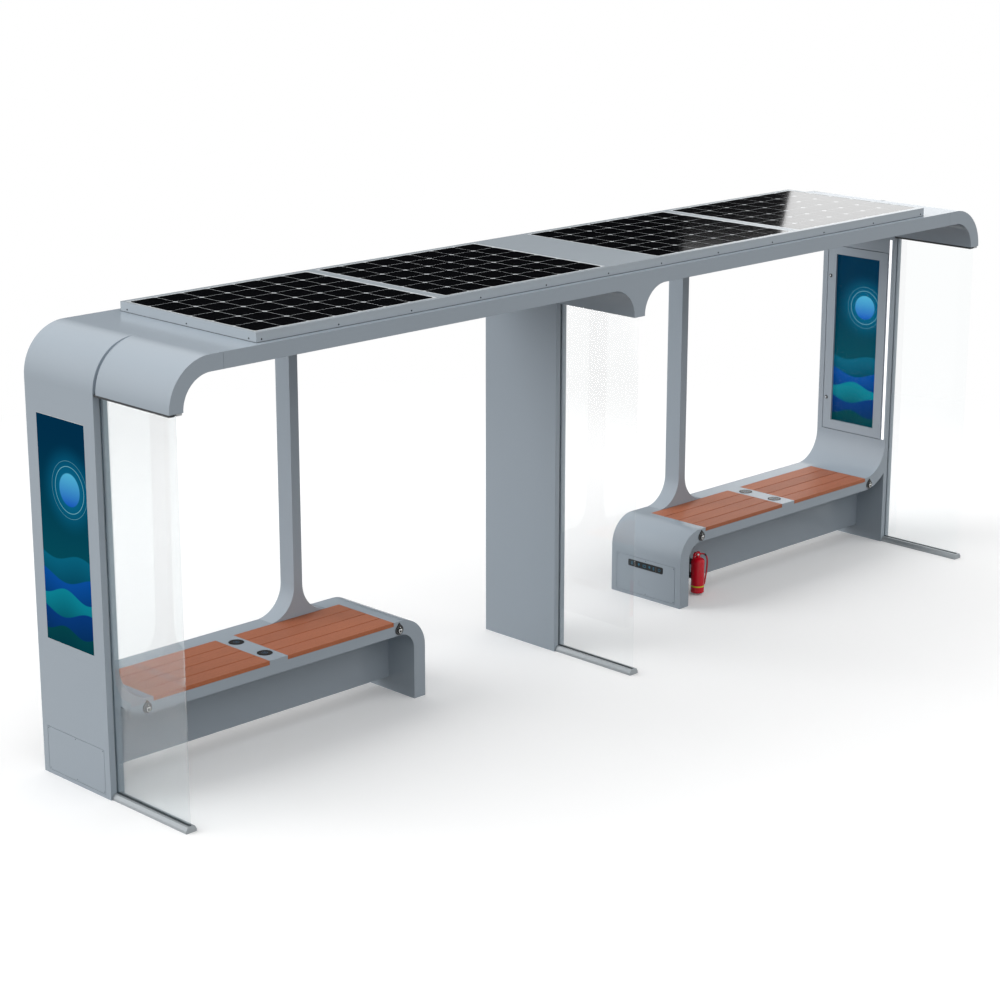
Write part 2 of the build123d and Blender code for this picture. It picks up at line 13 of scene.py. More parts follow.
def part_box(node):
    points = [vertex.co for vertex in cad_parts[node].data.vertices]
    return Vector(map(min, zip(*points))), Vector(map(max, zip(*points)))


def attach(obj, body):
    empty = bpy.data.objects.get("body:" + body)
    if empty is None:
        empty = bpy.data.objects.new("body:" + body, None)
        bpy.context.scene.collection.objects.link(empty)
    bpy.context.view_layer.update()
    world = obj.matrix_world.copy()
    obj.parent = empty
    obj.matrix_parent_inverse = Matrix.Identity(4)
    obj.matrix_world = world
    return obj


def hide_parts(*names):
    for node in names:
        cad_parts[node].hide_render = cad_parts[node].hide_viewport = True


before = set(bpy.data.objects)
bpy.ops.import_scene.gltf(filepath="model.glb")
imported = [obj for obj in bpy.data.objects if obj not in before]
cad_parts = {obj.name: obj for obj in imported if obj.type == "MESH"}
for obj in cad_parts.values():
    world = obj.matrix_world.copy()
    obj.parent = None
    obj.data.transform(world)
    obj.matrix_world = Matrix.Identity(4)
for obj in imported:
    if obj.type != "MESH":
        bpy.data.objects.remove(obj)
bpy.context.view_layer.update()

LOG = logging.getLogger("bus_shelter")
MM = 0.001
SHELTER = "shelter"
UP = Vector((0, 0, 1))
BACK, FRONT = Vector((0, 1, 0)), Vector((0, -1, 0))
RIGHTWARDS, LEFTWARDS = Vector((1, 0, 0)), Vector((-1, 0, 0))
FACING = 0.99                     # the cosine past which a face counts as looking along an axis
ROUND_FOLD = math.radians(40)     # folds up to this are shaded smoothly as a piece is modelled
SHARP_FOLD = math.radians(35)     # folds past this are eased, and stay sharp on a finished piece

Piece = bpy.types.Object
Material = bpy.types.Material
Tree = bpy.types.NodeTree
Node = bpy.types.Node
Socket = bpy.types.NodeSocket
Box = tuple[Vector, Vector]
Feed = Socket | float | tuple


class Side(Enum):
    """The two ends of the shelter, seen from its open front."""

    LEFT = -1
    RIGHT = 1

    @property
    def word(self) -> str:
        """The side's name as it stands in node and body names."""
        return self.name.lower()

    @property
    def door(self) -> str:
        """The body of this side's poster door."""
        return f"{self.word}_poster_door"


class Part(Enum):
    """What edit mode selects: its mode's name, and the mesh's own list of such parts."""

    FACES = ("FACE", "polygons")
    EDGES = ("EDGE", "edges")
    POINTS = ("VERT", "vertices")


# ---------------------------------------------------------------- colours and nodes

def linear(code: str) -> tuple[float, float, float, float]:
    """Turn an sRGB hex colour into the linear values that a shader takes.

    Args:
        code: six hex digits.

    Returns:
        Red, green, blue and full alpha.
    """
    parts = [int(code[i:i + 2], 16) / 255 for i in (0, 2, 4)]
    red, green, blue = (p / 12.92 if p <= 0.04045 else ((p + 0.055) / 1.055) ** 2.4 for p in parts)
    return red, green, blue, 1.0


def per_metre(size_mm: float) -> float:
    """The texture scale that makes one feature of a pattern this many millimetres wide."""
    return 1000 / size_mm


def fill(tree: Tree, node: Node, takes: dict) -> None:
    """Fill a node's sockets.

    Args:
        tree: the node tree it stands in.
        node: the node.
        takes: socket names or numbers, each with a value or with the output socket to link.
    """
    for key, value in takes.items():
        socket = node.inputs[key]
        if isinstance(value, Socket):
            tree.links.new(value, socket)
        else:
            socket.default_value = value


def add_node(tree: Tree, kind: str, settings: dict | None = None, takes: dict | None = None) -> Node:
    """Add a node with its settings, and fill its sockets.

    Args:
        tree: the node tree it goes into.
        kind: the node's type name.
        settings: its properties and their values.
        takes: socket names or numbers, each with a value or with the output socket to link.

    Returns:
        The new node.
    """
    node = tree.nodes.new(kind)
    for key, value in (settings or {}).items():
        setattr(node, key, value)
    fill(tree, node, takes or {})
    return node


def start_material(name: str, **sockets: object) -> tuple[Material, Tree, Node]:
    """Make a material with a Principled shader.

    Args:
        name: the real material's common name.
        sockets: the shader's constant values, with spaces in their names written as underscores.

    Returns:
        The material, its node tree and its shader.
    """
    material = bpy.data.materials.new(name)
    material.use_nodes = True
    tree = material.node_tree
    shader = tree.nodes["Principled BSDF"]
    fill(tree, shader, {key.replace("_", " "): value for key, value in sockets.items()})
    return material, tree, shader


def place_on_piece(tree: Tree) -> Socket:
    """The Object coordinates, in metres, of the point being shaded."""
    return add_node(tree, "ShaderNodeTexCoord").outputs["Object"]


def between(tree: Tree, share: Feed, first: Feed, second: Feed) -> Socket:
    """Blend two colours.

    Args:
        tree: the node tree.
        share: value or socket, 0 for the first colour and 1 for the second.
        first: colour or socket.
        second: colour or socket.

    Returns:
        The blended colour's socket.
    """
    mix = add_node(tree, "ShaderNodeMix", {"data_type": "RGBA"}, {0: share, 6: first, 7: second})
    return mix.outputs[2]


def sum_up(tree: Tree, operation: str, *values: Feed) -> Socket:
    """One step of arithmetic on values or sockets, clamped only where the operation does so."""
    takes = dict(enumerate(values))
    return add_node(tree, "ShaderNodeMath", {"operation": operation}, takes).outputs[0]


# ---------------------------------------------------------------- finishes

@dataclass(frozen=True)
class PowderCoat:
    """Polyester powder coat on folded sheet steel.

    Sprayed dry and baked, it gives a satin skin with a faint orange peel, softly rounded on
    every folded edge, where it also thins and catches the light.
    """

    name: str = "satin powder coated steel"
    colour: str = "A8B3BD"
    shade: str = "A3AEB8"
    roughness: float = 0.2
    uneven: float = 0.02
    gloss: float = 0.3
    drift_mm: float = 900.0
    cloud_mm: float = 140.0
    peel_mm: float = 4.0
    peel_depth_mm: float = 0.2
    edge_mm: float = 1.3

    def build(self) -> Material:
        """Make the material.

        Returns:
            The finished material.
        """
        material, tree, shader = start_material(self.name, IOR=1.5, Specular_IOR_Level=self.gloss)
        place = place_on_piece(tree)
        broad = add_node(tree, "ShaderNodeTexNoise", {}, {
            "Vector": place, "Scale": per_metre(self.drift_mm), "Detail": 2.0})
        colour = between(tree, broad.outputs["Fac"], linear(self.colour), linear(self.shade))
        cloud = add_node(tree, "ShaderNodeTexNoise", {}, {
            "Vector": place, "Scale": per_metre(self.cloud_mm), "Detail": 3.0})
        rough = add_node(tree, "ShaderNodeMapRange", {}, {
            "Value": cloud.outputs["Fac"],
            "To Min": self.roughness - self.uneven, "To Max": self.roughness + self.uneven})
        peel = add_node(tree, "ShaderNodeTexNoise", {}, {
            "Vector": place, "Scale": per_metre(self.peel_mm), "Detail": 1.0})
        folds = add_node(tree, "ShaderNodeBevel", {"samples": 4}, {"Radius": self.edge_mm * MM})
        bump = add_node(tree, "ShaderNodeBump", {}, {
            "Strength": 0.05, "Distance": self.peel_depth_mm * MM,
            "Height": peel.outputs["Fac"], "Normal": folds.outputs[0]})
        fill(tree, shader, {"Base Color": colour, "Roughness": rough.outputs[0], "Normal": bump.outputs[0]})
        return material


@dataclass(frozen=True)
class OiledHardwood:
    """Red tropical hardwood, planed and oiled: straight grain, short dark pores, each board its own tone."""

    name: str = "oiled hardwood"
    light: str = "C67650"
    dark: str = "A25B3A"
    pore: str = "7E4429"
    grain_mm: float = 7.0
    grain_run: float = 26.0
    pore_mm: float = 2.4
    pore_run: float = 8.0
    figure_depth_mm: float = 0.4
    tone_shift: float = 5.0
    bay_mm: float = 1200.0
    first_bay: float = 3.0
    board_mm: float = 128.25
    first_board_mm: float = 11.5

    def build(self) -> Material:
        """Make the material.

        Returns:
            The finished material.
        """
        material, tree, shader = start_material(self.name, IOR=1.5, Roughness=0.45, Specular_IOR_Level=0.3)
        place = place_on_piece(tree)
        numbered = add_node(tree, "ShaderNodeMapping", {}, {
            "Vector": place,
            "Location": (self.first_bay, -self.first_board_mm / self.board_mm, 0),
            "Scale": (per_metre(self.bay_mm), per_metre(self.board_mm), 0)})
        board = add_node(tree, "ShaderNodeVectorMath", {"operation": "FLOOR"}, {0: numbered.outputs[0]})
        tone = add_node(tree, "ShaderNodeTexWhiteNoise", {"noise_dimensions": "3D"}, {
            "Vector": board.outputs[0]})
        shifted = add_node(tree, "ShaderNodeVectorMath", {"operation": "MULTIPLY_ADD"}, {
            0: tone.outputs["Color"], 1: (self.tone_shift,) * 3, 2: place})
        along = self._stretched(tree, shifted.outputs[0], self.grain_mm, self.grain_run)
        grain = add_node(tree, "ShaderNodeTexNoise", {}, {
            "Vector": along, "Scale": 1.0, "Detail": 5.0, "Roughness": 0.62, "Distortion": 0.6})
        short = self._stretched(tree, shifted.outputs[0], self.pore_mm, self.pore_run)
        pores = add_node(tree, "ShaderNodeTexNoise", {}, {"Vector": short, "Scale": 1.0, "Detail": 2.0})
        wood = between(tree, grain.outputs["Fac"], linear(self.dark), linear(self.light))
        own = add_node(tree, "ShaderNodeMapRange", {}, {
            "Value": tone.outputs["Value"], "To Min": 0.9, "To Max": 1.08})
        toned = add_node(tree, "ShaderNodeHueSaturation", {}, {"Color": wood, "Value": own.outputs[0]})
        pits = add_node(tree, "ShaderNodeMapRange", {}, {
            "Value": pores.outputs["Fac"], "From Min": 0.52, "From Max": 0.78, "To Max": 0.55})
        colour = between(tree, pits.outputs[0], toned.outputs[0], linear(self.pore))
        bump = add_node(tree, "ShaderNodeBump", {}, {
            "Strength": 0.25, "Distance": self.figure_depth_mm * MM, "Height": grain.outputs["Fac"]})
        fill(tree, shader, {"Base Color": colour, "Normal": bump.outputs[0]})
        return material

    def _stretched(self, tree: Tree, place: Socket, width_mm: float, run: float) -> Socket:
        """Coordinates for a pattern that is drawn out along the boards.

        Args:
            tree: the node tree.
            place: the point's place.
            width_mm: the width of one feature of the pattern.
            run: how many times as long as wide it is.

        Returns:
            The coordinates' socket.
        """
        width, length = per_metre(width_mm), per_metre(width_mm * run)
        return add_node(tree, "ShaderNodeMapping", {}, {
            "Vector": place, "Scale": (length, width, width)}).outputs[0]


@dataclass(frozen=True)
class ClearGlass:
    """Float glass, clean and flat.

    It hardly shows but for a faint cool tint over what stands behind it, and its cut edges.
    """

    name: str
    colour: str
    cover: float

    def build(self) -> Material:
        """Make the material, thin enough to let most light straight through.

        Returns:
            The finished material.
        """
        material, _, _ = start_material(
            self.name, IOR=1.5, Roughness=0.0, Transmission_Weight=1.0,
            Base_Color=linear(self.colour), Alpha=self.cover)
        return material


@dataclass(frozen=True)
class PosterPrint:
    """A smooth backlit print: a pale disc in rings over rolling waves, teal into navy.

    The print is laid over a rectangle of the YZ plane. Its sizes are shares of the sheet's
    width, and heights are shares of its height. A wave has a height, a swing, the radians
    that it turns through across the sheet, the angle where it starts, and its ink. A ring
    has a radius, a width and a strength.
    """

    name: str
    low: tuple[float, float]
    high: tuple[float, float]
    glow: float
    sky: tuple[str, str] = ("06505E", "02304C")
    deep: str = "04283C"
    waves: tuple[tuple[float, float, float, float, str], ...] = (
        (0.40, 0.055, 6.0, 0.3, "0A6480"), (0.31, 0.075, 5.0, 2.1, "0C4FA0"),
        (0.235, 0.06, 7.0, 4.0, "0E8496"), (0.15, 0.07, 5.5, 1.2, "0A3A7C"),
        (0.07, 0.05, 8.0, 3.1, "06444C"))
    disc_place: tuple[float, float] = (0.36, 0.70)
    disc_radius: float = 0.22
    disc_inks: tuple[str, str] = ("1658BE", "55B8DA")
    rings: tuple[tuple[float, float, float], ...] = ((0.30, 0.006, 0.7), (0.37, 0.004, 0.45))

    def build(self) -> Material:
        """Make the material.

        Returns:
            The finished material.
        """
        material, tree, shader = start_material(
            self.name, Roughness=0.3, Specular_IOR_Level=0.0, Emission_Strength=self.glow)
        wide, tall = self.high[0] - self.low[0], self.high[1] - self.low[1]
        place = add_node(tree, "ShaderNodeSeparateXYZ", {}, {0: place_on_piece(tree)})
        across, up = (
            sum_up(tree, "DIVIDE", sum_up(tree, "SUBTRACT", place.outputs[axis], start), wide)
            for axis, start in zip("YZ", self.low))
        top = tall / wide
        ground = add_node(tree, "ShaderNodeMapRange", {"interpolation_type": "SMOOTHSTEP"}, {
            "Value": up, "From Min": 0.15 * top, "From Max": 0.98 * top})
        colour = between(tree, ground.outputs[0], *map(linear, self.sky))
        colour = self._disc(tree, colour, across, up, top)
        for height, swing, turns, start, ink in self.waves:
            angle = sum_up(tree, "MULTIPLY_ADD", across, turns, start)
            line = sum_up(tree, "MULTIPLY_ADD", sum_up(tree, "SINE", angle), swing, height * top)
            depth = sum_up(tree, "SUBTRACT", line, up)
            edge = add_node(tree, "ShaderNodeMapRange", {}, {"Value": depth, "From Max": 0.012})
            fade = add_node(tree, "ShaderNodeMapRange", {}, {
                "Value": depth, "From Max": 0.5, "To Min": 0.0, "To Max": 0.75})
            band = between(tree, fade.outputs[0], linear(ink), linear(self.deep))
            colour = between(tree, edge.outputs[0], colour, band)
        dim = between(tree, 0.6, colour, (0, 0, 0, 1))
        fill(tree, shader, {"Base Color": dim, "Emission Color": colour})
        return material

    def _disc(self, tree: Tree, colour: Socket, across: Socket, up: Socket, top: float) -> Socket:
        """Lay a glowing disc and two thin rings over the print.

        Args:
            tree: the node tree.
            colour: the print so far.
            across: place across the sheet, in sheet widths.
            up: place up the sheet, in sheet widths.
            top: the sheet's height, in sheet widths.

        Returns:
            The print with the disc.
        """
        middle, height = self.disc_place
        east = sum_up(tree, "SUBTRACT", across, middle)
        north = sum_up(tree, "SUBTRACT", up, height * top)
        far = sum_up(tree, "SQRT", sum_up(
            tree, "ADD", sum_up(tree, "MULTIPLY", east, east), sum_up(tree, "MULTIPLY", north, north)))
        halo = add_node(tree, "ShaderNodeMapRange", {"interpolation_type": "SMOOTHSTEP"}, {
            "Value": far, "From Min": 0.16, "From Max": 0.62, "To Min": 0.75, "To Max": 0.0})
        colour = between(tree, halo.outputs[0], colour, linear("0C6C92"))
        for radius, width, strength in self.rings:
            off = sum_up(tree, "ABSOLUTE", sum_up(tree, "SUBTRACT", far, radius))
            ring = add_node(tree, "ShaderNodeMapRange", {}, {
                "Value": off, "From Max": width, "To Min": strength, "To Max": 0.0})
            colour = between(tree, ring.outputs[0], colour, linear("9BE6EE"))
        inside = add_node(tree, "ShaderNodeMapRange", {}, {
            "Value": far, "From Min": self.disc_radius - 0.015, "From Max": self.disc_radius,
            "To Min": 1.0, "To Max": 0.0})
        shade = add_node(tree, "ShaderNodeMapRange", {}, {
            "Value": north, "From Min": -self.disc_radius, "From Max": self.disc_radius})
        face = between(tree, shade.outputs[0], *map(linear, self.disc_inks))
        return between(tree, inside.outputs[0], colour, face)


@dataclass(frozen=True)
class Plain:
    """A finish of one colour, with the fine unevenness in tone and gloss that its making leaves."""

    name: str
    colour: str
    roughness: float
    metallic: float = 0.0
    grit_mm: float = 3.0
    bump: float = 0.05
    specular: float = 0.5
    glow: float = 0.0
    grains_per_cloud: float = 12.0
    tone_swing: float = 0.06
    gloss_swing: float = 0.15
    grit_depth_mm: float = 0.1

    def build(self) -> Material:
        """Make the material.

        Returns:
            The finished material.
        """
        material, tree, shader = start_material(
            self.name, Metallic=self.metallic, Specular_IOR_Level=self.specular,
            Emission_Strength=self.glow, Emission_Color=linear(self.colour))
        place = place_on_piece(tree)
        cloud = add_node(tree, "ShaderNodeTexNoise", {}, {
            "Vector": place, "Scale": per_metre(self.grit_mm * self.grains_per_cloud), "Detail": 3.0})
        tone = add_node(tree, "ShaderNodeMapRange", {}, {
            "Value": cloud.outputs["Fac"], "To Min": 1 - self.tone_swing, "To Max": 1 + self.tone_swing})
        colour = add_node(tree, "ShaderNodeHueSaturation", {}, {
            "Color": linear(self.colour), "Value": tone.outputs[0]})
        rough = add_node(tree, "ShaderNodeMapRange", {}, {
            "Value": cloud.outputs["Fac"], "To Min": self.roughness * (1 - self.gloss_swing),
            "To Max": self.roughness * (1 + self.gloss_swing)})
        grit = add_node(tree, "ShaderNodeTexNoise", {}, {
            "Vector": place, "Scale": per_metre(self.grit_mm), "Detail": 2.0})
        bump = add_node(tree, "ShaderNodeBump", {}, {
            "Strength": self.bump, "Distance": self.grit_depth_mm * MM, "Height": grit.outputs["Fac"]})
        fill(tree, shader, {
            "Base Color": colour.outputs[0], "Roughness": rough.outputs[0], "Normal": bump.outputs[0]})
        return material


# Folded sheet aluminium with a lighter powder coat: the same satin skin as the steel's.
TRAY_COAT = PowderCoat("satin powder coated aluminium", "B1BAC1", "ACB5BD")
# Extruded and anodised: pale metal with a fine dull sheen.
PANEL_FRAME = Plain("anodised aluminium", "D4D9DC", 0.35, metallic=0.3, grit_mm=1.5)
# White film under flat glass: bright, with a sharp gloss.
BACKSHEET = Plain("white backsheet under glass", "DFE3E6", 0.05, grit_mm=6, bump=0.005)
# Etched and coated slices of one crystal under flat glass: nearly black, with a sharp gloss.
CELL = Plain("monocrystalline silicon under glass", "0B0C0F", 0.05, grit_mm=9, bump=0.005)
# Pressed into its joint: dark and dull.
TRAY_SEAL = Plain("black butyl seal", "3B4146", 0.7, grit_mm=2)
# Turned and chemically blackened: dark metal with a soft gleam.
SCREW_STEEL = Plain("blackened steel", "23272B", 0.4, metallic=0.8, grit_mm=1)
# Moulded in a polished tool: black, with a clear reflection that stays weak.
PAD_FACE = Plain("gloss black polycarbonate", "0E1012", 0.16, grit_mm=4, specular=0.17)
# Moulded in a textured tool: black and almost without reflection.
PAD_BODY = Plain("moulded black rubber", "0E0F10", 0.6, grit_mm=2, specular=0.1)
# Printed through a pad: a flat muted line.
PAD_PRINT = Plain("grey blue pad print", "3C566C", 0.5, grit_mm=2, specular=0.1)
# Fired or stoved enamel: black and glossy.
BADGE_ENAMEL = Plain("gloss black enamel", "0C0D0F", 0.16, grit_mm=2)
# Bent wire, polished: a bright mirror, softened by fine scratches.
HOOK_STEEL = Plain("polished stainless steel", "D2D3D2", 0.16, metallic=1.0, grit_mm=1)
# A moulded diffuser with lamps behind it: an even white glow.
LIGHT_COVER = Plain("opal acrylic over lamps", "FFFFFF", 0.3, grit_mm=5, glow=0.9)
# Turned, then brushed: bright metal with a soft reflection.
LOCK_STEEL = Plain("brushed steel", "B9BDC0", 0.28, metallic=1.0, grit_mm=1)
# The keyway down the key's slot and the collar round the lock: near black and dull. The collar's near black
# is painted shade, standing in for the shadow round the lock.
PAINTED_SHADE_COLLAR_AND_KEYWAY = Plain("dark keyway", "111214", 0.5, grit_mm=1)
# Extruded pale rubber: a light line with little gloss.
SCREEN_GASKET = Plain("pale screen gasket", "D5DADD", 0.4, grit_mm=2)
# Cut film stuck on flat: smooth and satin.
BAR_FILM = Plain("satin black film", "14171A", 0.3, grit_mm=3, specular=0.3)
# Screen printed on the film: flat colour, slightly raised.
SYMBOL_INK = Plain("blue printed ink", "2E6C86", 0.5, grit_mm=2, specular=0.2)
# Screen printed on the film beside it: a flat brown line.
LINE_INK = Plain("bronze printed line", "6E625A", 0.5, grit_mm=2, specular=0.2)
# Extruded and anodised, a shade darker than the panels' frames.
RAIL_ALUMINIUM = Plain("satin anodised aluminium", "A9AFB3", 0.32, metallic=0.35, grit_mm=1.5)
# Extruded rubber: dark grey and dull.
GLAZING_RUBBER = Plain("grey glazing rubber", "3A4045", 0.6, grit_mm=2)
# Tooled by hand into the joint: mid grey with a low sheen.
FIN_SEAL = Plain("grey silicone seal", "8B949C", 0.45, grit_mm=2)
# Extruded rubber, left as it came: black and dull.
CLAMP_RUBBER = Plain("black rubber", "2B2F33", 0.6, grit_mm=2)
# Sawn and sanded acrylic: pale, with a frosted face.
CLAMP_ACRYLIC = Plain("frosted acrylic", "D5DADC", 0.4, grit_mm=4)
# Stove enamel over spun steel: deep red and glossy.
BOTTLE_ENAMEL = Plain("red enamelled steel", "E2102A", 0.12, grit_mm=9, bump=0.01, specular=0.35)
# Moulded in a textured tool: black with a low sheen.
BRACKET_POLYMER = Plain("black moulded polymer", "202326", 0.5, grit_mm=2)
# Printed film: a flat bright lime.
BOTTLE_BAND = Plain("lime reflective band", "DCE83A", 0.35, grit_mm=2, specular=0.3)
# Turned and plated: bright, with a sharp reflection.
GAUGE_CHROME = Plain("chromed brass", "C9CBCB", 0.2, metallic=1.0, grit_mm=1)
# Moulded over a braid: dark red with a soft gleam and a fine rough skin.
HOSE_RUBBER = Plain("red moulded rubber", "BE1C30", 0.35, grit_mm=1.5, bump=0.1)
# Moulded onto the hose: black with a soft gleam.
SLEEVE = Plain("black moulded sleeve", "17191B", 0.4, grit_mm=2)


# ---------------------------------------------------------------- modelling

def clear_selection() -> None:
    """Deselect every object."""
    for thing in list(bpy.context.selected_objects):
        thing.select_set(False)


def pick(piece: Piece) -> Piece:
    """Make one piece the only selected and the active one.

    Args:
        piece: the piece.

    Returns:
        The same piece.
    """
    clear_selection()
    piece.select_set(True)
    bpy.context.view_layer.objects.active = piece
    return piece


def bake_place(piece: Piece) -> Piece:
    """Move a piece's place, turn and size into its mesh.

    Args:
        piece: the piece.

    Returns:
        The same piece.
    """
    pick(piece)
    bpy.ops.object.transform_apply(location=True, rotation=True, scale=True)
    return piece


def finish_with(piece: Piece, kind: str, **settings: object) -> Piece:
    """Put a modifier on a piece and apply it.

    Args:
        piece: the piece to change.
        kind: the modifier's type name.
        settings: the modifier's properties.

    Returns:
        The same piece.
    """
    pick(piece)
    modifier = piece.modifiers.new(kind.title(), kind)
    for key, value in settings.items():
        setattr(modifier, key, value)
    bpy.ops.object.modifier_apply(modifier=modifier.name)
    return piece


def ease_edges(piece: Piece, width_mm: float, steps: int = 2) -> Piece:
    """Round a piece's sharp edges and shade it smoothly between them.

    Args:
        piece: the piece.
        width_mm: how far the edges are rounded.
        steps: facets in each rounding.

    Returns:
        The same piece.
    """
    finish_with(piece, "BEVEL", width=width_mm * MM, segments=steps, limit_method="ANGLE",
                angle_limit=SHARP_FOLD, use_clamp_overlap=True)
    bpy.ops.object.shade_smooth_by_angle(angle=ROUND_FOLD)
    return piece


def add_block(low: Vector, high: Vector, ease_mm: float = 0.0, steps: int = 2) -> Piece:
    """Model a box between two corners with eased edges.

    Args:
        low: its lowest corner.
        high: its highest corner.
        ease_mm: how far the edges are rounded.
        steps: facets in each rounding.

    Returns:
        The new piece.
    """
    clear_selection()
    bpy.ops.mesh.primitive_cube_add(size=1, location=(low + high) / 2, scale=high - low)
    piece = bake_place(bpy.context.object)
    return ease_edges(piece, ease_mm, steps) if ease_mm else piece


def add_strip(face: float, thick: float, low: tuple[float, float], high: tuple[float, float],
              ease_mm: float, steps: int = 2) -> Piece:
    """Model a strip that lies against a face square to X.

    Args:
        face: the face's place along X.
        thick: how far the strip stands off the face, and negative towards -X.
        low: the strip's lowest Y and Z.
        high: its highest Y and Z.
        ease_mm: how far the edges are rounded.
        steps: facets in each rounding.

    Returns:
        The new piece.
    """
    near, far = sorted((face, face + thick))
    return add_block(Vector((near, *low)), Vector((far, *high)), ease_mm, steps)


def add_round(middle: Vector, radius: float, depth: float, axis: Vector, sides: int = 32,
              ease_mm: float = 0.0, far_radius: float | None = None) -> Piece:
    """Model a round bar, disc or cone.

    Args:
        middle: its centre.
        radius: its radius at the start of the axis.
        depth: its length along the axis.
        axis: the way it points.
        sides: how many sides it has.
        ease_mm: how far the rims are rounded.
        far_radius: its radius at the far end, if not the same.

    Returns:
        The new piece.
    """
    clear_selection()
    turn = axis.to_track_quat("Z", "Y").to_euler()
    end = radius if far_radius is None else far_radius
    bpy.ops.mesh.primitive_cone_add(vertices=sides, radius1=radius, radius2=end, depth=depth,
                                    location=middle, rotation=turn)
    piece = bake_place(bpy.context.object)
    if ease_mm:
        return ease_edges(piece, ease_mm)
    bpy.ops.object.shade_smooth_by_angle(angle=ROUND_FOLD)
    return piece


def open_with(piece: Piece, kind: Part, wanted: Callable[[bpy.types.bpy_struct], bool]) -> None:
    """Open a piece in edit mode with only some of its parts selected.

    Args:
        piece: the piece to open.
        kind: faces, edges or points.
        wanted: takes one part of the mesh and says whether to select it.
    """
    mode, parts = kind.value
    pick(piece)
    bpy.ops.object.mode_set(mode="EDIT")
    bpy.ops.mesh.select_mode(type=mode)
    bpy.ops.mesh.select_all(action="DESELECT")
    bpy.ops.object.mode_set(mode="OBJECT")
    for part in getattr(piece.data, parts):
        part.select = wanted(part)
    bpy.ops.object.mode_set(mode="EDIT")


def open_facing(piece: Piece, axis: Vector) -> None:
    """Open a piece in edit mode with the faces that look along an axis selected."""
    open_with(piece, Part.FACES, lambda face: face.normal.dot(axis) > FACING)


def close_edit() -> None:
    """Leave edit mode."""
    bpy.ops.object.mode_set(mode="OBJECT")


def push_out(move: Vector) -> None:
    """Extrude the selected faces or edges by a distance."""
    bpy.ops.mesh.extrude_region_move(TRANSFORM_OT_translate={"value": move})


def sink_face(piece: Piece, axis: Vector, rim: float, slope: float, depth: float) -> Piece:
    """Sink the face that looks along an axis inside a flat rim, down sloping sides.

    Args:
        piece: the piece.
        axis: the way the face looks.
        rim: the rim's width.
        slope: how far the sides run inwards.
        depth: how far the face goes down.

    Returns:
        The same piece.
    """
    open_facing(piece, axis)
    bpy.ops.mesh.inset(thickness=rim)
    bpy.ops.mesh.inset(thickness=slope, depth=-depth)
    close_edit()
    return piece


def cut_through(piece: Piece, axis: int, rim: float) -> Piece:
    """Open a flat piece right through along one axis, and leave a rim.

    Args:
        piece: the piece, with one face at each end of the axis.
        axis: 0, 1 or 2 for X, Y or Z.
        rim: the rim's width.

    Returns:
        The same piece.
    """
    open_with(piece, Part.FACES, lambda face: abs(face.normal[axis]) > FACING)
    bpy.ops.mesh.inset(thickness=rim, use_individual=True)
    bpy.ops.mesh.bridge_edge_loops()
    close_edit()
    return piece


def copy_to(piece: Piece, move: Vector) -> Piece:
    """Copy a piece with its own mesh and move the copy.

    Args:
        piece: the piece to copy.
        move: the way from the piece to its copy.

    Returns:
        The copy.
    """
    twin = piece.copy()
    twin.data = piece.data.copy()
    bpy.context.scene.collection.objects.link(twin)
    twin.data.transform(Matrix.Translation(move))
    return twin


def join(pieces: Iterable[Piece]) -> Piece:
    """Join pieces into one mesh.

    Args:
        pieces: the pieces.

    Returns:
        The first of them, with the meshes of all.
    """
    pieces = list(pieces)
    pick(pieces[0])
    for piece in pieces[1:]:
        piece.select_set(True)
    if len(pieces) > 1:
        bpy.ops.object.join()
    return bpy.context.view_layer.objects.active


def hand_over(piece: Piece, name: str, finish: Material, body: str = SHELTER,
              replaces: tuple[str, ...] = ()) -> Piece:
    """Name and paint a finished piece and let it ride on its body.

    Args:
        piece: the finished piece.
        name: its plain name.
        finish: its material.
        body: the body it moves with.
        replaces: the CAD nodes it stands for.

    Returns:
        The same piece.
    """
    pick(piece)
    if piece.type == "MESH":
        bpy.ops.object.shade_smooth_by_angle(angle=SHARP_FOLD)
        finish_with(piece, "WEIGHTED_NORMAL", keep_sharp=True)
    piece.name = name
    piece.data.name = name
    piece.data.materials.clear()
    piece.data.materials.append(finish)
    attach(piece, body)
    if replaces:
        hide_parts(*replaces)
    LOG.info("%s rides on %s", name, body)
    return piece


def dress_node(node: str, finish: Material) -> None:
    """Paint a CAD node whose shape stays.

    Args:
        node: the node's name.
        finish: its material.
    """
    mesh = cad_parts[node].data
    mesh.materials.clear()
    mesh.materials.append(finish)
    LOG.info("%s: painted with %s", node, finish.name)


def solids_of(node: str) -> list[Box]:
    """The boxes of a CAD node's separate solids, from left to right and front to back.

    Args:
        node: the node's name.

    Returns:
        Lowest and highest corner of each solid.
    """
    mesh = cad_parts[node].data
    keys = [tuple(round(c, 5) for c in v.co) for v in mesh.vertices]
    parent = {key: key for key in keys}

    def root(key: tuple) -> tuple:
        """Follow a point to the one that stands for its solid.

        Args:
            key: the point's rounded place.

        Returns:
            The rounded place of the point that stands for the solid.
        """
        while parent[key] != key:
            parent[key] = parent[parent[key]]
            key = parent[key]
        return key

    for face in mesh.polygons:
        first = root(keys[face.vertices[0]])
        for corner in face.vertices[1:]:
            parent[root(keys[corner])] = first
    groups: dict[tuple, list[tuple]] = {}
    for key in parent:
        groups.setdefault(root(key), []).append(key)
    boxes = [(Vector(map(min, *points)), Vector(map(max, *points))) for points in groups.values()]
    return sorted(boxes, key=lambda box: (round(box[0].x, 3), round(box[0].y, 3), box[0].z))


# ---------------------------------------------------------------- sub-assemblies

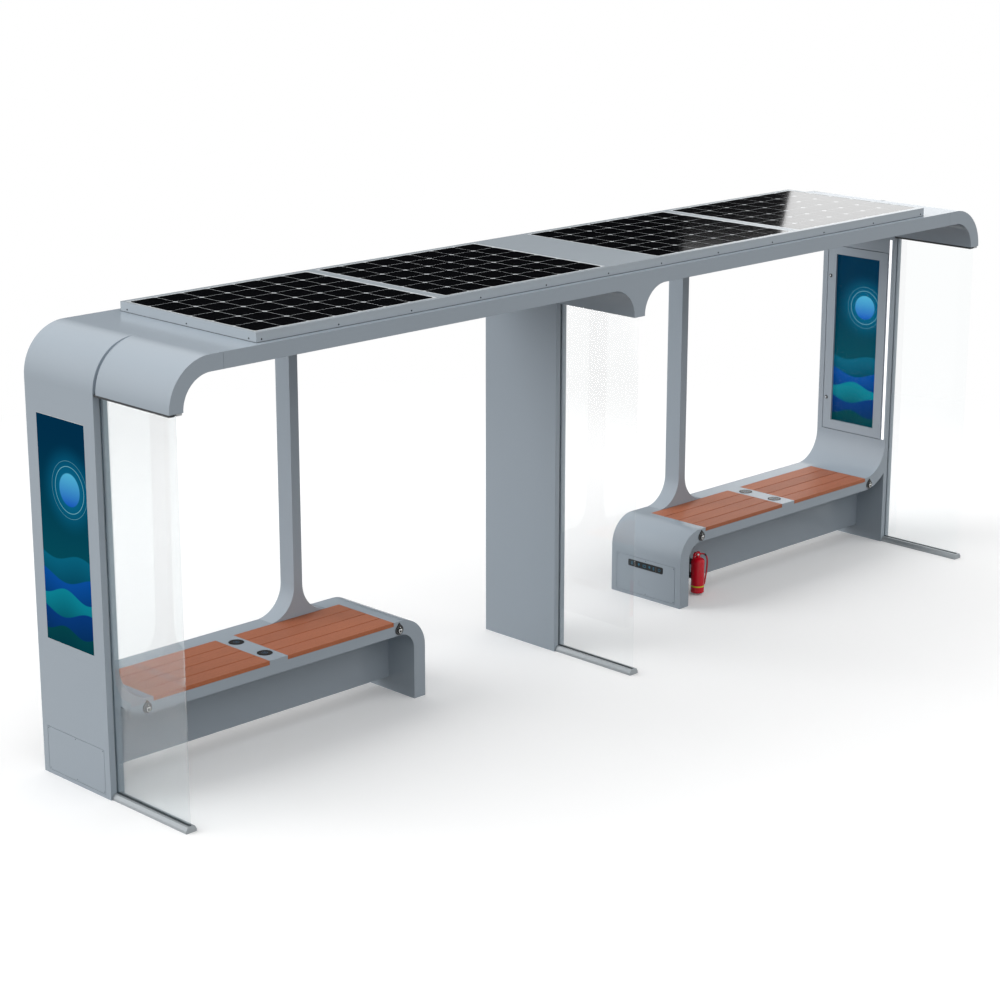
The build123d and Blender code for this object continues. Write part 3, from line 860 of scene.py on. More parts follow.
@dataclass
class Ribbon:
    """The folded grey steel of pylons, roof, wings, column, benches and posts."""

    finish: PowderCoat = PowderCoat()
    tray: PowderCoat = TRAY_COAT
    shared: tuple[str, ...] = (
        "left_roof", "centre_roof", "right_roof", "centre_column",
        "rear_posts", "pylon_hatches", "leg_hatches", "case_hinges")
    sided: tuple[str, ...] = (
        "pylon_foot", "pylon_panel", "pylon_shoulder", "wing", "bench_frame", "apron", "case_door")

    def build(self) -> None:
        """Paint the tray and every steel node."""
        paint = self.finish.build()
        dress_node("solar_tray", self.tray.build())
        names = list(self.shared)
        names += [f"{side.word}_{part}" for side in Side for part in self.sided]
        for name in names:
            dress_node(name, paint)


@dataclass(frozen=True)
class Screws:
    """Small dark button-head screws with a socket, all copies of one model."""

    radius: float = 5.0 * MM
    proud: float = 2.2 * MM
    sides: int = 14
    top_share: float = 0.7
    rim_share: float = 0.3
    socket_share: float = 0.6

    def one(self, place: Vector, axis: Vector) -> Piece:
        """Model one screw.

        Args:
            place: where its head meets the surface.
            axis: the surface's outward normal.

        Returns:
            The screw.
        """
        screw = add_round(place + axis * self.proud / 2, self.radius, self.proud, axis, self.sides,
                          far_radius=self.radius * self.top_share)
        open_facing(screw, axis)
        bpy.ops.mesh.inset(thickness=self.radius * self.rim_share)
        push_out(-axis * self.proud * self.socket_share)
        close_edit()
        return screw

    def row(self, places: Iterable[Vector], axis: Vector) -> list[Piece]:
        """Copy one screw to each of several places.

        Args:
            places: where the heads meet the surface.
            axis: the surface's outward normal.

        Returns:
            The screws.
        """
        places = list(places)
        first = self.one(places[0], axis)
        return [first] + [copy_to(first, place - places[0]) for place in places[1:]]


@dataclass
class SolarRoof:
    """Framed solar panels in their tray: pale frame and backsheet, dark cells with cut corners."""

    frame_width: float = 9 * MM
    frame_lip: float = 1.5 * MM
    sheet_depth: float = 1 * MM
    columns: int = 7
    rows: int = 6
    gap: float = 3.4 * MM
    corner: float = 15.5 * MM
    cell_depth: float = 0.15 * MM
    seal: float = 2.5 * MM
    seal_proud: float = 0.8 * MM
    seal_width: float = 4 * MM
    screw_rise: float = 16 * MM
    first_screw: float = 0.24
    screw_pitch: float = 0.5388
    screws_per_half: int = 6
    end_insets: tuple[float, float] = (0.063, 0.062)

    def build(self, screws: Screws) -> None:
        """Model the panels and the tray's screws.

        Args:
            screws: the screw model.
        """
        pale, sheet, cell = PANEL_FRAME.build(), BACKSHEET.build(), CELL.build()
        boxes = solids_of("solar_panels")
        hand_over(join([self._frame(*box) for box in boxes]), "solar_panel_frames", pale,
                  replaces=("solar_panels",))
        hand_over(join([self._sheet(*box) for box in boxes]), "solar_backsheets", sheet)
        hand_over(join([self._cells(*box) for box in boxes]), "solar_cell_rows", cell)
        self._seal()
        self._screws(screws)

    def _frame(self, low: Vector, high: Vector) -> Piece:
        """Model one panel's frame with a lip round its glass.

        Args:
            low: the panel's lowest corner.
            high: its highest corner.

        Returns:
            The frame.
        """
        panel = add_block(low, high, 0.8)
        open_facing(panel, UP)
        bpy.ops.mesh.inset(thickness=self.frame_width)
        push_out(Vector((0, 0, -self.frame_lip - self.sheet_depth)))
        close_edit()
        return panel

    def _sheet(self, low: Vector, high: Vector) -> Piece:
        """Model the backsheet inside one frame.

        Args:
            low: the panel's lowest corner.
            high: its highest corner.

        Returns:
            The backsheet.
        """
        inset = Vector((self.frame_width, self.frame_width, 0))
        top = high.z - self.frame_lip
        return add_block(Vector((*(low + inset).xy, top - self.sheet_depth)),
                         Vector((*(high - inset).xy, top)))

    def _cells(self, low: Vector, high: Vector) -> Piece:
        """Model one cell with cut corners and lay it out in rows.

        Args:
            low: the panel's lowest corner.
            high: its highest corner.

        Returns:
            All the cells of one panel.
        """
        margin = self.frame_width + self.gap
        pitch_x = (high.x - low.x - 2 * margin + self.gap) / self.columns
        pitch_y = (high.y - low.y - 2 * margin + self.gap) / self.rows
        corner = Vector((low.x + margin, low.y + margin, high.z - self.frame_lip))
        size = Vector((pitch_x - self.gap, pitch_y - self.gap, self.cell_depth))
        first = add_block(corner, corner + size)

        def upright(edge: bpy.types.MeshEdge) -> bool:
            """Whether an edge of the cell stands up."""
            start, end = (first.data.vertices[i].co for i in edge.vertices)
            return abs(start.z - end.z) > self.cell_depth / 2

        open_with(first, Part.EDGES, upright)
        bpy.ops.mesh.bevel(offset=self.corner, segments=1, affect="EDGES")
        close_edit()
        places = [Vector((i * pitch_x, j * pitch_y, 0))
                  for i in range(self.columns) for j in range(self.rows)]
        return join([first] + [copy_to(first, place) for place in places[1:]])

    def _seal(self) -> None:
        """Lay the dark seal between the tray's foot and the roof."""
        low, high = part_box("solar_tray")
        over = Vector((self.seal_proud, self.seal_proud, 0))
        seal = cut_through(add_block(low - over, Vector((*high.xy, low.z + self.seal)) + over),
                           2, self.seal_width)
        hand_over(seal, "tray_seal", TRAY_SEAL.build())

    def _screws(self, screws: Screws) -> None:
        """Drive the screws into the tray's four sides.

        Args:
            screws: the screw model.
        """
        low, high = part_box("solar_tray")
        middle = low.z + self.screw_rise
        half = [self.first_screw + self.screw_pitch * i for i in range(self.screws_per_half)]
        along = [-x for x in reversed(half)] + half
        front, back = self.end_insets
        across = [low.y + front, (low.y + high.y) / 2, high.y - back]
        heads = []
        for y, axis in ((low.y, FRONT), (high.y, BACK)):
            heads += screws.row((Vector((x, y, middle)) for x in along), axis)
        for x, axis in ((low.x, LEFTWARDS), (high.x, RIGHTWARDS)):
            heads += screws.row((Vector((x, y, middle)) for y in across), axis)
        hand_over(join(heads), "tray_screws", SCREW_STEEL.build())


@dataclass
class Seat:
    """The wooden boards and the charging pads of both benches."""

    board_ease_mm: float = 2.5
    sides: int = 64
    rim: float = 4.5 * MM
    dish: float = 1.2 * MM
    plate: float = 0.7 * MM
    plate_gap: float = 0.3 * MM
    ink: float = 0.5 * MM
    ring_radius: float = 19 * MM
    ring_line: float = 2.4 * MM
    bar_length: float = 18 * MM
    bar_width: float = 3.2 * MM
    bar_pitch: float = 6.5 * MM

    def build(self) -> None:
        """Model the boards and pads."""
        wood = OiledHardwood().build()
        boards = [add_block(low, high, self.board_ease_mm, 3) for low, high in solids_of("seat_boards")]
        hand_over(join(boards), "bench_boards", wood, replaces=("seat_boards",))
        gloss, dull, blue = PAD_FACE.build(), PAD_BODY.build(), PAD_PRINT.build()
        places = solids_of("charging_pads")
        hand_over(join(self._disc(*box) for box in places), "charging_pad_discs", dull,
                  replaces=("charging_pads",))
        hand_over(join(self._face(*box) for box in places), "charging_pad_faces", gloss)
        hand_over(join(self._mark(*box) for box in places), "charging_pad_marks", blue)

    def _disc(self, low: Vector, high: Vector) -> Piece:
        """Model one pad: a round-edged disc with a dished face inside its rim.

        Args:
            low: the pad's lowest corner.
            high: its highest corner.

        Returns:
            The disc.
        """
        disc = add_round((low + high) / 2, (high.x - low.x) / 2, high.z - low.z, UP, self.sides, 0.9)
        return sink_face(disc, UP, self.rim, self.dish, self.dish)

    def _face(self, low: Vector, high: Vector) -> Piece:
        """Model the glossy plate that lies in a pad's dish.

        Args:
            low: the pad's lowest corner.
            high: its highest corner.

        Returns:
            The plate.
        """
        middle = (low + high) / 2
        radius = (high.x - low.x) / 2 - self.rim - self.dish - self.plate_gap
        level = high.z - self.dish + self.plate / 2
        return add_round(Vector((*middle.xy, level)), radius, self.plate, UP, self.sides, 0.2)

    def _mark(self, low: Vector, high: Vector) -> Piece:
        """Model the thin ring and the three short bars printed in the middle of a pad.

        Args:
            low: the pad's lowest corner.
            high: its highest corner.

        Returns:
            The mark.
        """
        middle = (low + high) / 2
        centre = Vector((*middle.xy, high.z - self.dish + self.plate))
        ring = cut_through(add_round(centre, self.ring_radius, self.ink, UP, 48), 2, self.ring_line)
        half = Vector((self.bar_length, self.bar_width, self.ink)) / 2
        bars = []
        for shift in (-self.bar_pitch, 0.0, self.bar_pitch):
            place = centre + BACK * shift
            bars.append(add_block(place - half, place + half, 0.2, 1))
        return join([ring, *bars])


@dataclass
class BagHooks:
    """Black teardrop badges, each with a polished loop on a stud and a knob above it."""

    badge_depth: float = 6 * MM
    loop_width: float = 24 * MM
    loop_drop: float = 28 * MM
    wire: float = 2.1 * MM
    boss_height: float = 9 * MM
    boss_depth: float = 5.6 * MM
    leg_overlap: float = 1 * MM
    stand_off: float = 7.5 * MM
    stud_radius: float = 4.6 * MM
    knob_rise: float = 19 * MM
    knob_depth: float = 7 * MM
    knob_radii: tuple[float, float] = (4.0 * MM, 3.4 * MM)

    def build(self) -> None:
        """Model the badges and their bright parts."""
        black, steel = BADGE_ENAMEL.build(), HOOK_STEEL.build()
        places = solids_of("bag_hooks")
        hand_over(join(self._badge(*box) for box in places), "hook_badges", black,
                  replaces=("bag_hooks",))
        hand_over(join(self._loop(*box) for box in places), "hook_loops", steel)

    def _badge(self, low: Vector, high: Vector) -> Piece:
        """Model a badge: a disc whose top is drawn up to a point, made thick and round-edged.

        Args:
            low: the badge's lowest corner.
            high: its highest corner.

        Returns:
            The badge.
        """
        radius = (high.x - low.x) / 2
        middle = Vector(((low.x + high.x) / 2, high.y, low.z + radius))
        tip = high.z - middle.z
        spread = math.acos(radius / tip)
        clear_selection()
        bpy.ops.mesh.primitive_circle_add(vertices=64, radius=radius, fill_type="NGON", location=middle,
                                          rotation=(math.radians(90), 0, 0))
        badge = bake_place(bpy.context.object)
        level = middle.z + radius - 1e-6
        open_with(badge, Part.POINTS, lambda point: point.co.z > level)
        bpy.ops.transform.translate(value=(0, 0, tip - radius))
        close_edit()

        def on_shoulder(point: bpy.types.MeshVertex) -> bool:
            """Whether a point of the rim lies between the tip and where the straight sides begin."""
            away = point.co - middle
            return 1e-4 < abs(math.atan2(away.x, away.z)) < spread

        open_with(badge, Part.POINTS, on_shoulder)
        bpy.ops.mesh.dissolve_verts()
        close_edit()
        open_with(badge, Part.FACES, lambda _: True)
        push_out(FRONT * self.badge_depth)
        bpy.ops.mesh.select_all(action="SELECT")
        bpy.ops.mesh.normals_make_consistent(inside=False)
        close_edit()
        return ease_edges(badge, 1.2)

    def _loop(self, low: Vector, high: Vector) -> Piece:
        """Model a loop: half a ring with straight legs under a broad boss, on its stud.

        Args:
            low: the badge's lowest corner.
            high: its highest corner.

        Returns:
            The loop with its boss, stud and knob.
        """
        middle, radius = (low.x + high.x) / 2, (high.x - low.x) / 2
        base = low.z + radius
        badge_face = high.y - self.badge_depth
        front = badge_face - self.stand_off
        bend = self.loop_width / 2 - self.wire
        foot = base + self.boss_height - self.loop_drop + self.loop_width / 2
        clear_selection()
        bpy.ops.mesh.primitive_torus_add(major_radius=bend, minor_radius=self.wire, major_segments=32,
                                         minor_segments=12, location=(middle, front, foot),
                                         rotation=(math.radians(90), 0, 0))
        loop = bake_place(bpy.context.object)
        open_with(loop, Part.FACES, lambda _: True)
        bpy.ops.mesh.bisect(plane_co=(middle, front, foot), plane_no=UP, use_fill=True, clear_outer=True)
        close_edit()
        open_with(loop, Part.FACES,
                  lambda face: face.normal.z > FACING and abs(face.center.z - foot) < 1e-5)
        push_out(Vector((0, 0, base + self.leg_overlap - foot)))
        close_edit()
        half = Vector((self.loop_width, self.boss_depth, self.boss_height)) / 2
        centre = Vector((middle, front, base + self.boss_height / 2))
        boss = add_block(centre - half, centre + half, 2.4, 3)
        stud = add_round(centre + BACK * self.stand_off / 2, self.stud_radius, self.stand_off, BACK, 24)
        knob_place = Vector((middle, badge_face - self.knob_depth / 2, base + self.knob_rise))
        root, end = self.knob_radii
        knob = add_round(knob_place, root, self.knob_depth, FRONT, 24, 1.8, end)
        whole = join([loop, boss, stud, knob])
        bpy.ops.object.shade_smooth_by_angle(angle=ROUND_FOLD)
        return whole


@dataclass
class AccessPlates:
    """The screws of the plates low on the pylons and bench legs."""

    inset: float = 9 * MM
    head: Screws = Screws(radius=3.2 * MM, proud=0.8 * MM)

    def build(self) -> None:
        """Set small screws near the corners and the middles of the long edges of each plate."""
        heads = []
        for node, outward in (("pylon_hatches", True), ("leg_hatches", False)):
            for low, high in solids_of(node):
                to_right = outward == (low.x > 0)
                face, way = (high.x, RIGHTWARDS) if to_right else (low.x, LEFTWARDS)
                rows = (low.z + self.inset, high.z - self.inset)
                columns = (low.y + self.inset, (low.y + high.y) / 2, high.y - self.inset)
                places = [Vector((face, y, z)) for y in columns for z in rows]
                heads += self.head.row(places, way)
        hand_over(join(heads), "hatch_screws", SCREW_STEEL.build())


@dataclass
class Displays:
    """Outer screens, poster cases with their locks, light strips and the legs' rows of symbols.

    The sizes of ring, bar, drop and frame are shares of a symbol's width.
    """

    prints: tuple[tuple[str, str, float], ...] = (
        ("outer_screens", "lit screen print", 0.6), ("poster_boards", "backlit poster print", 0.7))
    trim: float = 2.6 * MM
    film: float = 0.4 * MM
    symbol: float = 22 * MM
    barrel_rim: float = 1.6 * MM
    barrel_slope: float = 0.4 * MM
    barrel_dish: float = 0.8 * MM
    collar: float = 13.5 * MM
    collar_depth: float = 3 * MM
    knob: float = 7.5 * MM
    knob_depth: float = 5 * MM
    knob_stand: float = 3 * MM
    slit: tuple[float, float, float] = (0.8 * MM, 1.4 * MM, 6.0 * MM)
    line_width: float = 3 * MM
    line_places: tuple[float, ...] = (0.195, 0.79)
    symbol_places: tuple[float, ...] = (0.10, 0.26, 0.38, 0.53, 0.69, 0.89)
    ring_line: float = 0.16
    bar_half: tuple[float, float] = (0.32, 0.11)
    bar_step: float = 0.36
    drop_radius: float = 0.38
    drop_rise: float = 0.12
    drop_point: float = 0.3
    frame_half: tuple[float, float] = (0.62, 0.42)
    frame_line: float = 0.17

    def build(self) -> None:
        """Dress everything lit or printed."""
        self._prints()
        dress_node("led_strips", LIGHT_COVER.build())
        clear = ClearGlass("clear case pane", "FAFDFD", 0.02).build()
        steel, dark = LOCK_STEEL.build(), PAINTED_SHADE_COLLAR_AND_KEYWAY.build()
        for side in Side:
            dress_node(f"{side.word}_case_glass", clear)
            self._locks(side, steel, dark)
        self._symbols()

    def _prints(self) -> None:
        """Print the outer screens and the poster boards, and run a bright gasket over each screen."""
        for node, name, glow in self.prints:
            low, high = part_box(node)
            dress_node(node, PosterPrint(name, (low.y, low.z), (high.y, high.z), glow).build())
        bright = SCREEN_GASKET.build()
        strips = []
        for low, high in solids_of("outer_screens"):
            face, thick = (high.x, self.film) if low.x > 0 else (low.x, -self.film)
            for foot, head in ((high.z - self.trim, high.z), (low.z, low.z + self.trim / 2)):
                strips.append(add_strip(face, thick, (low.y, foot), (high.y, head), 0.15, 1))
        hand_over(join(strips), "screen_gaskets", bright)

    def _locks(self, side: Side, steel: Material, dark: Material) -> None:
        """Model a case door's locks: a barrel, a dark collar on the door, whose near black is painted shade
        round the lock, and a bright knob with a keyway.

        Args:
            side: the door's end of the shelter.
            steel: the finish of barrel and knob.
            dark: the finish of keyway and collar; the collar's near black is painted shade.
        """
        inward = LEFTWARDS if side is Side.RIGHT else RIGHTWARDS
        barrels, shade_collars_and_keyways = [], []
        for low, high in solids_of(f"{side.word}_case_locks"):
            middle, radius = (low + high) / 2, (high.z - low.z) / 2
            barrel = add_round(middle, radius, high.x - low.x, inward, 40, 1.2)
            barrels.append(sink_face(barrel, inward, self.barrel_rim, self.barrel_slope, self.barrel_dish))
            face = Vector((low.x if side is Side.RIGHT else high.x, middle.y, middle.z))
            # The collar's near black is painted shade round the lock.
            shade_collars_and_keyways.append(add_round(face, self.collar, self.collar_depth, inward, 40, 1.0))
            knob_place = face + inward * self.knob_stand
            barrels.append(add_round(knob_place, self.knob, self.knob_depth, inward, 32, 1.6))
            slit = Vector(self.slit) / 2
            front = knob_place + inward * self.knob_depth / 2
            shade_collars_and_keyways.append(add_block(front - slit, front + slit, 0.2, 1))
        hand_over(join(barrels), f"{side.word}_lock_barrels", steel, side.door,
                  (f"{side.word}_case_locks",))
        hand_over(join(shade_collars_and_keyways), f"{side.word}_lock_keyways", dark, side.door)

    def _symbols(self) -> None:
        """Paint the dark bars on the legs and set a row of plain symbols and two lines on each."""
        black, blue, brown = BAR_FILM.build(), SYMBOL_INK.build(), LINE_INK.build()
        dress_node("icon_strips", black)
        marks, lines = [], []
        for low, high in solids_of("icon_strips"):
            out, face = (LEFTWARDS, low.x) if low.x > 0 else (RIGHTWARDS, high.x)
            marks += self._row(self._spots(low, high, face, self.symbol_places), out)
            half = Vector((self.film, self.line_width, self.symbol * 1.5)) / 2
            lines += [add_block(spot - half, spot + half, 0.1, 1)
                      for spot in self._spots(low, high, face, self.line_places)]
        hand_over(join(marks), "leg_symbols", blue)
        hand_over(join(lines), "leg_symbol_lines", brown)

    def _spots(self, low: Vector, high: Vector, face: float, shares: Iterable[float]) -> list[Vector]:
        """Places along the middle of one bar's face.

        Args:
            low: the bar's lowest corner.
            high: its highest corner.
            face: its face's place along X.
            shares: how far along the bar each place is, as a share of its length.

        Returns:
            The places.
        """
        return [Vector((face, low.y + (high.y - low.y) * share, (low.z + high.z) / 2)) for share in shares]

    def _row(self, spots: list[Vector], out: Vector) -> list[Piece]:
        """Model six small marks along one bar: ring, bars, drop, frame, drop and bars.

        Args:
            spots: their places.
            out: the bar's outward normal.

        Returns:
            The marks.
        """
        first, second, third, fourth, fifth, sixth = spots
        return [self._ring(first, out), self._bars(second), self._drop(third, out),
                self._frame(fourth), self._drop(fifth, out), self._bars(sixth)]

    def _ring(self, middle: Vector, out: Vector) -> Piece:
        """Model a thick ring."""
        disc = add_round(middle, self.symbol / 2, self.film, out, 32)
        return cut_through(disc, 0, self.symbol * self.ring_line)

    def _bars(self, middle: Vector) -> Piece:
        """Model three short bars, one above the other.

        Args:
            middle: their centre.

        Returns:
            The bars.
        """
        half = Vector((self.film / 2, *(self.symbol * share for share in self.bar_half)))
        step = Vector((0, 0, self.symbol * self.bar_step))
        first = add_block(middle - step - half, middle - step + half, 0.1, 1)
        return join([first, copy_to(first, step), copy_to(first, step * 2)])

    def _drop(self, middle: Vector, out: Vector) -> Piece:
        """Model a disc drawn down to a point.

        Args:
            middle: the mark's centre.
            out: the bar's outward normal.

        Returns:
            The drop.
        """
        centre = middle + UP * self.symbol * self.drop_rise
        drop = add_round(centre, self.symbol * self.drop_radius, self.film, out, 24)
        foot = min(point.co.z for point in drop.data.vertices) + 1e-5
        open_with(drop, Part.POINTS, lambda point: point.co.z < foot)
        bpy.ops.transform.translate(value=(0, 0, -self.symbol * self.drop_point))
        close_edit()
        return drop

    def _frame(self, middle: Vector) -> Piece:
        """Model a wide rectangular frame."""
        half = Vector((self.film / 2, *(self.symbol * share for share in self.frame_half)))
        return cut_through(add_block(middle - half, middle + half), 0, self.symbol * self.frame_line)


@dataclass
class Glazing:
    """The glass fins, the left one given a darker tint that is painted shade, and the clamps, seals and
    gaskets that hold them.
    """

    # The left fin is the same glass as the others; its darker, bluer tint and heavier cover are painted
    # shade.
    fins: tuple[tuple[str, str, float], ...] = (
        ("left", "86A8B1", 0.2), ("centre", "D8EEF0", 0.08), ("right", "D8EEF0", 0.08))
    gasket: float = 3 * MM
    gasket_sunk: float = 3 * MM
    gasket_proud: float = 2.5 * MM
    wedge: float = 2.4 * MM
    wedge_proud: float = 1.2 * MM
    wedge_foot: float = 3 * MM
    wedge_head: float = 1 * MM
    clamp_rim: float = 3 * MM
    clamp_groove: float = 0.8 * MM

    def build(self) -> None:
        """Dress the fins and rails, and model clamps, seals and gaskets."""
        for name, tint, cover in self.fins:
            dress_node(f"{name}_glass_fin", ClearGlass(f"toughened float glass {name}", tint, cover).build())
        dress_node("floor_rails", RAIL_ALUMINIUM.build())
        rubber = GLAZING_RUBBER.build()
        self._wedges(rubber)
        self._clamps()
        strips = []
        fins = [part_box(f"{name}_glass_fin") for name, _, _ in self.fins]
        for (_, high), (fin_low, fin_high) in zip(solids_of("floor_rails"), fins):
            for edge, thick in ((fin_low.x, -self.gasket), (fin_high.x, self.gasket)):
                strips.append(add_strip(edge, thick, (fin_low.y, high.z - self.gasket_sunk),
                                        (high.y, high.z + self.gasket_proud), 0.8))
        hand_over(join(strips), "rail_gaskets", rubber)

    def _clamps(self) -> None:
        """Model the bars that grip each fin under its wing: rubber on its left, acrylic on its right."""
        bars = []
        for low, high in solids_of("wing_clamps"):
            bar = add_block(low, high, 1.2)
            open_facing(bar, -UP)
            bpy.ops.mesh.inset(thickness=self.clamp_rim, depth=-self.clamp_groove)
            close_edit()
            bars.append(bar)
        black, pale = CLAMP_RUBBER.build(), CLAMP_ACRYLIC.build()
        hand_over(join(bars[0::2]), "clamp_rubber_bars", black, replaces=("wing_clamps",))
        hand_over(join(bars[1::2]), "clamp_clear_bars", pale)

    def _wedges(self, rubber: Material) -> None:
        """Press a wedge seal into the gap on each side of every fin, grey at the ends and dark in the middle.

        Args:
            rubber: the dark glazing rubber.
        """
        grey = FIN_SEAL.build()
        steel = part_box("centre_column")[0].y
        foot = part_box("floor_rails")[1].z + self.wedge_foot
        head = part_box("wing_clamps")[0].z - self.wedge_head
        for name, _, _ in self.fins:
            low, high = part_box(f"{name}_glass_fin")
            seals = [add_strip(edge, thick, (steel - self.wedge_proud, foot), (steel, head), 0.4, 1)
                     for edge, thick in ((low.x, -self.wedge), (high.x, self.wedge))]
            hand_over(join(seals), f"{name}_fin_seals", rubber if name == "centre" else grey)


@dataclass
class Extinguisher:
    """The small red extinguisher on its bracket under the right-hand bench.

    The hose's route is given by its distance from the bottle's axis and its height above the
    bottle's foot, both in millimetres.
    """

    sides: int = 72
    shoulder: float = 29 * MM
    shoulder_steps: int = 8
    neck_radius: float = 13 * MM
    neck_height: float = 12 * MM
    foot_round: float = 6 * MM
    collar_radius: float = 16 * MM
    collar_height: float = 6 * MM
    band_height: float = 8 * MM
    band_rise: float = 49 * MM
    band_proud: float = 0.6 * MM
    band_wall: float = 1.2 * MM
    gauge_rise: float = 14 * MM
    gauge_reach: float = 15 * MM
    gauge_radius: float = 7 * MM
    gauge_depth: float = 8 * MM
    gauge_rim: float = 1.2 * MM
    gauge_slope: float = 0.4 * MM
    gauge_dish: float = 1.0 * MM
    pin_drop: float = 9 * MM
    pin_shift: float = 2 * MM
    pin_radius: float = 1.8 * MM
    pin_length: float = 40 * MM
    ring_shift: float = 29 * MM
    ring_radius: float = 9 * MM
    ring_wire: float = 1.3 * MM
    hose_radius: float = 6 * MM
    hose_length: float = 0.266
    hose_turn_deg: float = 20.0
    hose_route: tuple[tuple[float, float], ...] = ((22, 278), (66, 278), (80, 186), (54, 50))
    sleeve_wall: float = 1.6 * MM
    sleeve_length: float = 17 * MM

    def build(self) -> None:
        """Model the bottle, its fittings and its hose, and paint the valve and bracket."""
        red = BOTTLE_ENAMEL.build()
        self._bottle(red)
        dress_node("extinguisher_valve", red)
        dress_node("extinguisher_bracket", BRACKET_POLYMER.build())
        self._fittings()
        self._hose()

    def _bottle(self, red: Material) -> None:
        """Model the bottle from a bar whose top is drawn in step by step, with its collar and lime band.

        Args:
            red: the bottle's enamel.
        """
        low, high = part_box("extinguisher_bottle")
        radius, middle = (high.x - low.x) / 2, (low + high) / 2
        shoulder_top = high.z - self.neck_height
        body = shoulder_top - self.shoulder - low.z
        bottle = add_round(Vector((*middle.xy, low.z + body / 2)), radius, body, UP, self.sides)
        open_facing(bottle, UP)
        last_rise, last_width = 0.0, radius
        for step in range(1, self.shoulder_steps + 1):
            turn = math.radians(90) * step / self.shoulder_steps
            rise = self.shoulder * math.sin(turn)
            width = self.neck_radius + (radius - self.neck_radius) * math.cos(turn)
            push_out(UP * (rise - last_rise))
            share = width / last_width
            bpy.ops.transform.resize(value=(share, share, 1), center_override=(*middle.xy, low.z))
            last_rise, last_width = rise, width
        push_out(UP * self.neck_height)
        close_edit()
        open_facing(bottle, -UP)
        bpy.ops.mesh.bevel(offset=self.foot_round, segments=4, affect="EDGES")
        close_edit()
        pick(bottle)
        bpy.ops.object.shade_smooth_by_angle(angle=ROUND_FOLD)
        collar = add_round(Vector((*middle.xy, high.z - self.collar_height / 2)), self.collar_radius,
                           self.collar_height, UP, 40, 1.2)
        hand_over(join([bottle, collar]), "extinguisher_shell", red,
                  replaces=("extinguisher_bottle",))
        lime = BOTTLE_BAND.build()
        band = add_round(Vector((*middle.xy, low.z + self.band_rise)), radius + self.band_proud,
                         self.band_height, UP, self.sides, 0.3)
        hand_over(cut_through(band, 2, self.band_wall), "extinguisher_band", lime)

    def _fittings(self) -> None:
        """Model the gauge, and the safety pin with its ring, on the valve."""
        low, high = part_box("extinguisher_bottle")
        axis = (low + high) / 2
        forward = Vector((-0.7, -0.7, 0)).normalized()
        across = forward.cross(UP)
        steel = GAUGE_CHROME.build()
        gauge_place = Vector((*axis.xy, high.z + self.gauge_rise)) + forward * self.gauge_reach
        gauge = add_round(gauge_place, self.gauge_radius, self.gauge_depth, forward, 32, 1.0)
        sink_face(gauge, forward, self.gauge_rim, self.gauge_slope, self.gauge_dish)
        pin_place = Vector((*axis.xy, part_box("extinguisher_valve")[1].z - self.pin_drop))
        pin = add_round(pin_place + across * self.pin_shift, self.pin_radius, self.pin_length, across,
                        16, 0.4)
        clear_selection()
        bpy.ops.mesh.primitive_torus_add(
            major_radius=self.ring_radius, minor_radius=self.ring_wire, major_segments=32,
            minor_segments=8, location=pin_place + across * self.ring_shift,
            rotation=forward.to_track_quat("Z", "Y").to_euler())
        ring = bake_place(bpy.context.object)
        bpy.ops.object.shade_smooth_by_angle(angle=ROUND_FOLD)
        hand_over(join([gauge, pin, ring]), "extinguisher_pin_and_gauge", steel)

    def _hose(self) -> None:
        """Run the hose from the valve's outlet round and down to its clip, with its sleeve."""
        low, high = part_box("extinguisher_bottle")
        axis = (low + high) / 2
        turn = math.radians(self.hose_turn_deg)
        points = [Vector((axis.x + out * MM * math.cos(turn), axis.y - out * MM * math.sin(turn),
                          low.z + rise * MM)) for out, rise in self.hose_route]
        route = bpy.data.curves.new("extinguisher_hose_line", "CURVE")
        route.dimensions = "3D"
        spline = route.splines.new("NURBS")
        spline.points.add(len(points) - 1)
        for control, point in zip(spline.points, points):
            control.co = (*point, 1)
        spline.order_u = 3
        spline.use_endpoint_u = True
        route.resolution_u = 24
        hose = bpy.data.objects.new("extinguisher_hose_line", route)
        bpy.context.scene.collection.objects.link(hose)
        sleeve = self._sleeve(hose, points[1])
        route.bevel_depth = self.hose_radius
        route.bevel_resolution = 8
        route.use_fill_caps = True
        hand_over(hose, "extinguisher_tube", HOSE_RUBBER.build(),
                  replaces=("extinguisher_hose",))

    def _sleeve(self, hose: Piece, corner: Vector) -> Piece:
        """Model the black sleeve on the hose where it comes nearest to its upper corner.

        Args:
            hose: the hose's line, before it has any thickness.
            corner: the route's corner.

        Returns:
            The sleeve.
        """
        line = bpy.data.meshes.new_from_object(hose)
        places = [point.co.copy() for point in line.vertices]
        bpy.data.meshes.remove(line)
        nearest = min(range(1, len(places) - 1), key=lambda i: (places[i] - corner).length)
        along = (places[nearest + 1] - places[nearest - 1]).normalized()
        black = SLEEVE.build()
        sleeve = add_round(places[nearest], self.hose_radius + self.sleeve_wall, self.sleeve_length,
                           along, 32, 1.6)
        return hand_over(sleeve, "extinguisher_hose_sleeve", black)


# ---------------------------------------------------------------- studio

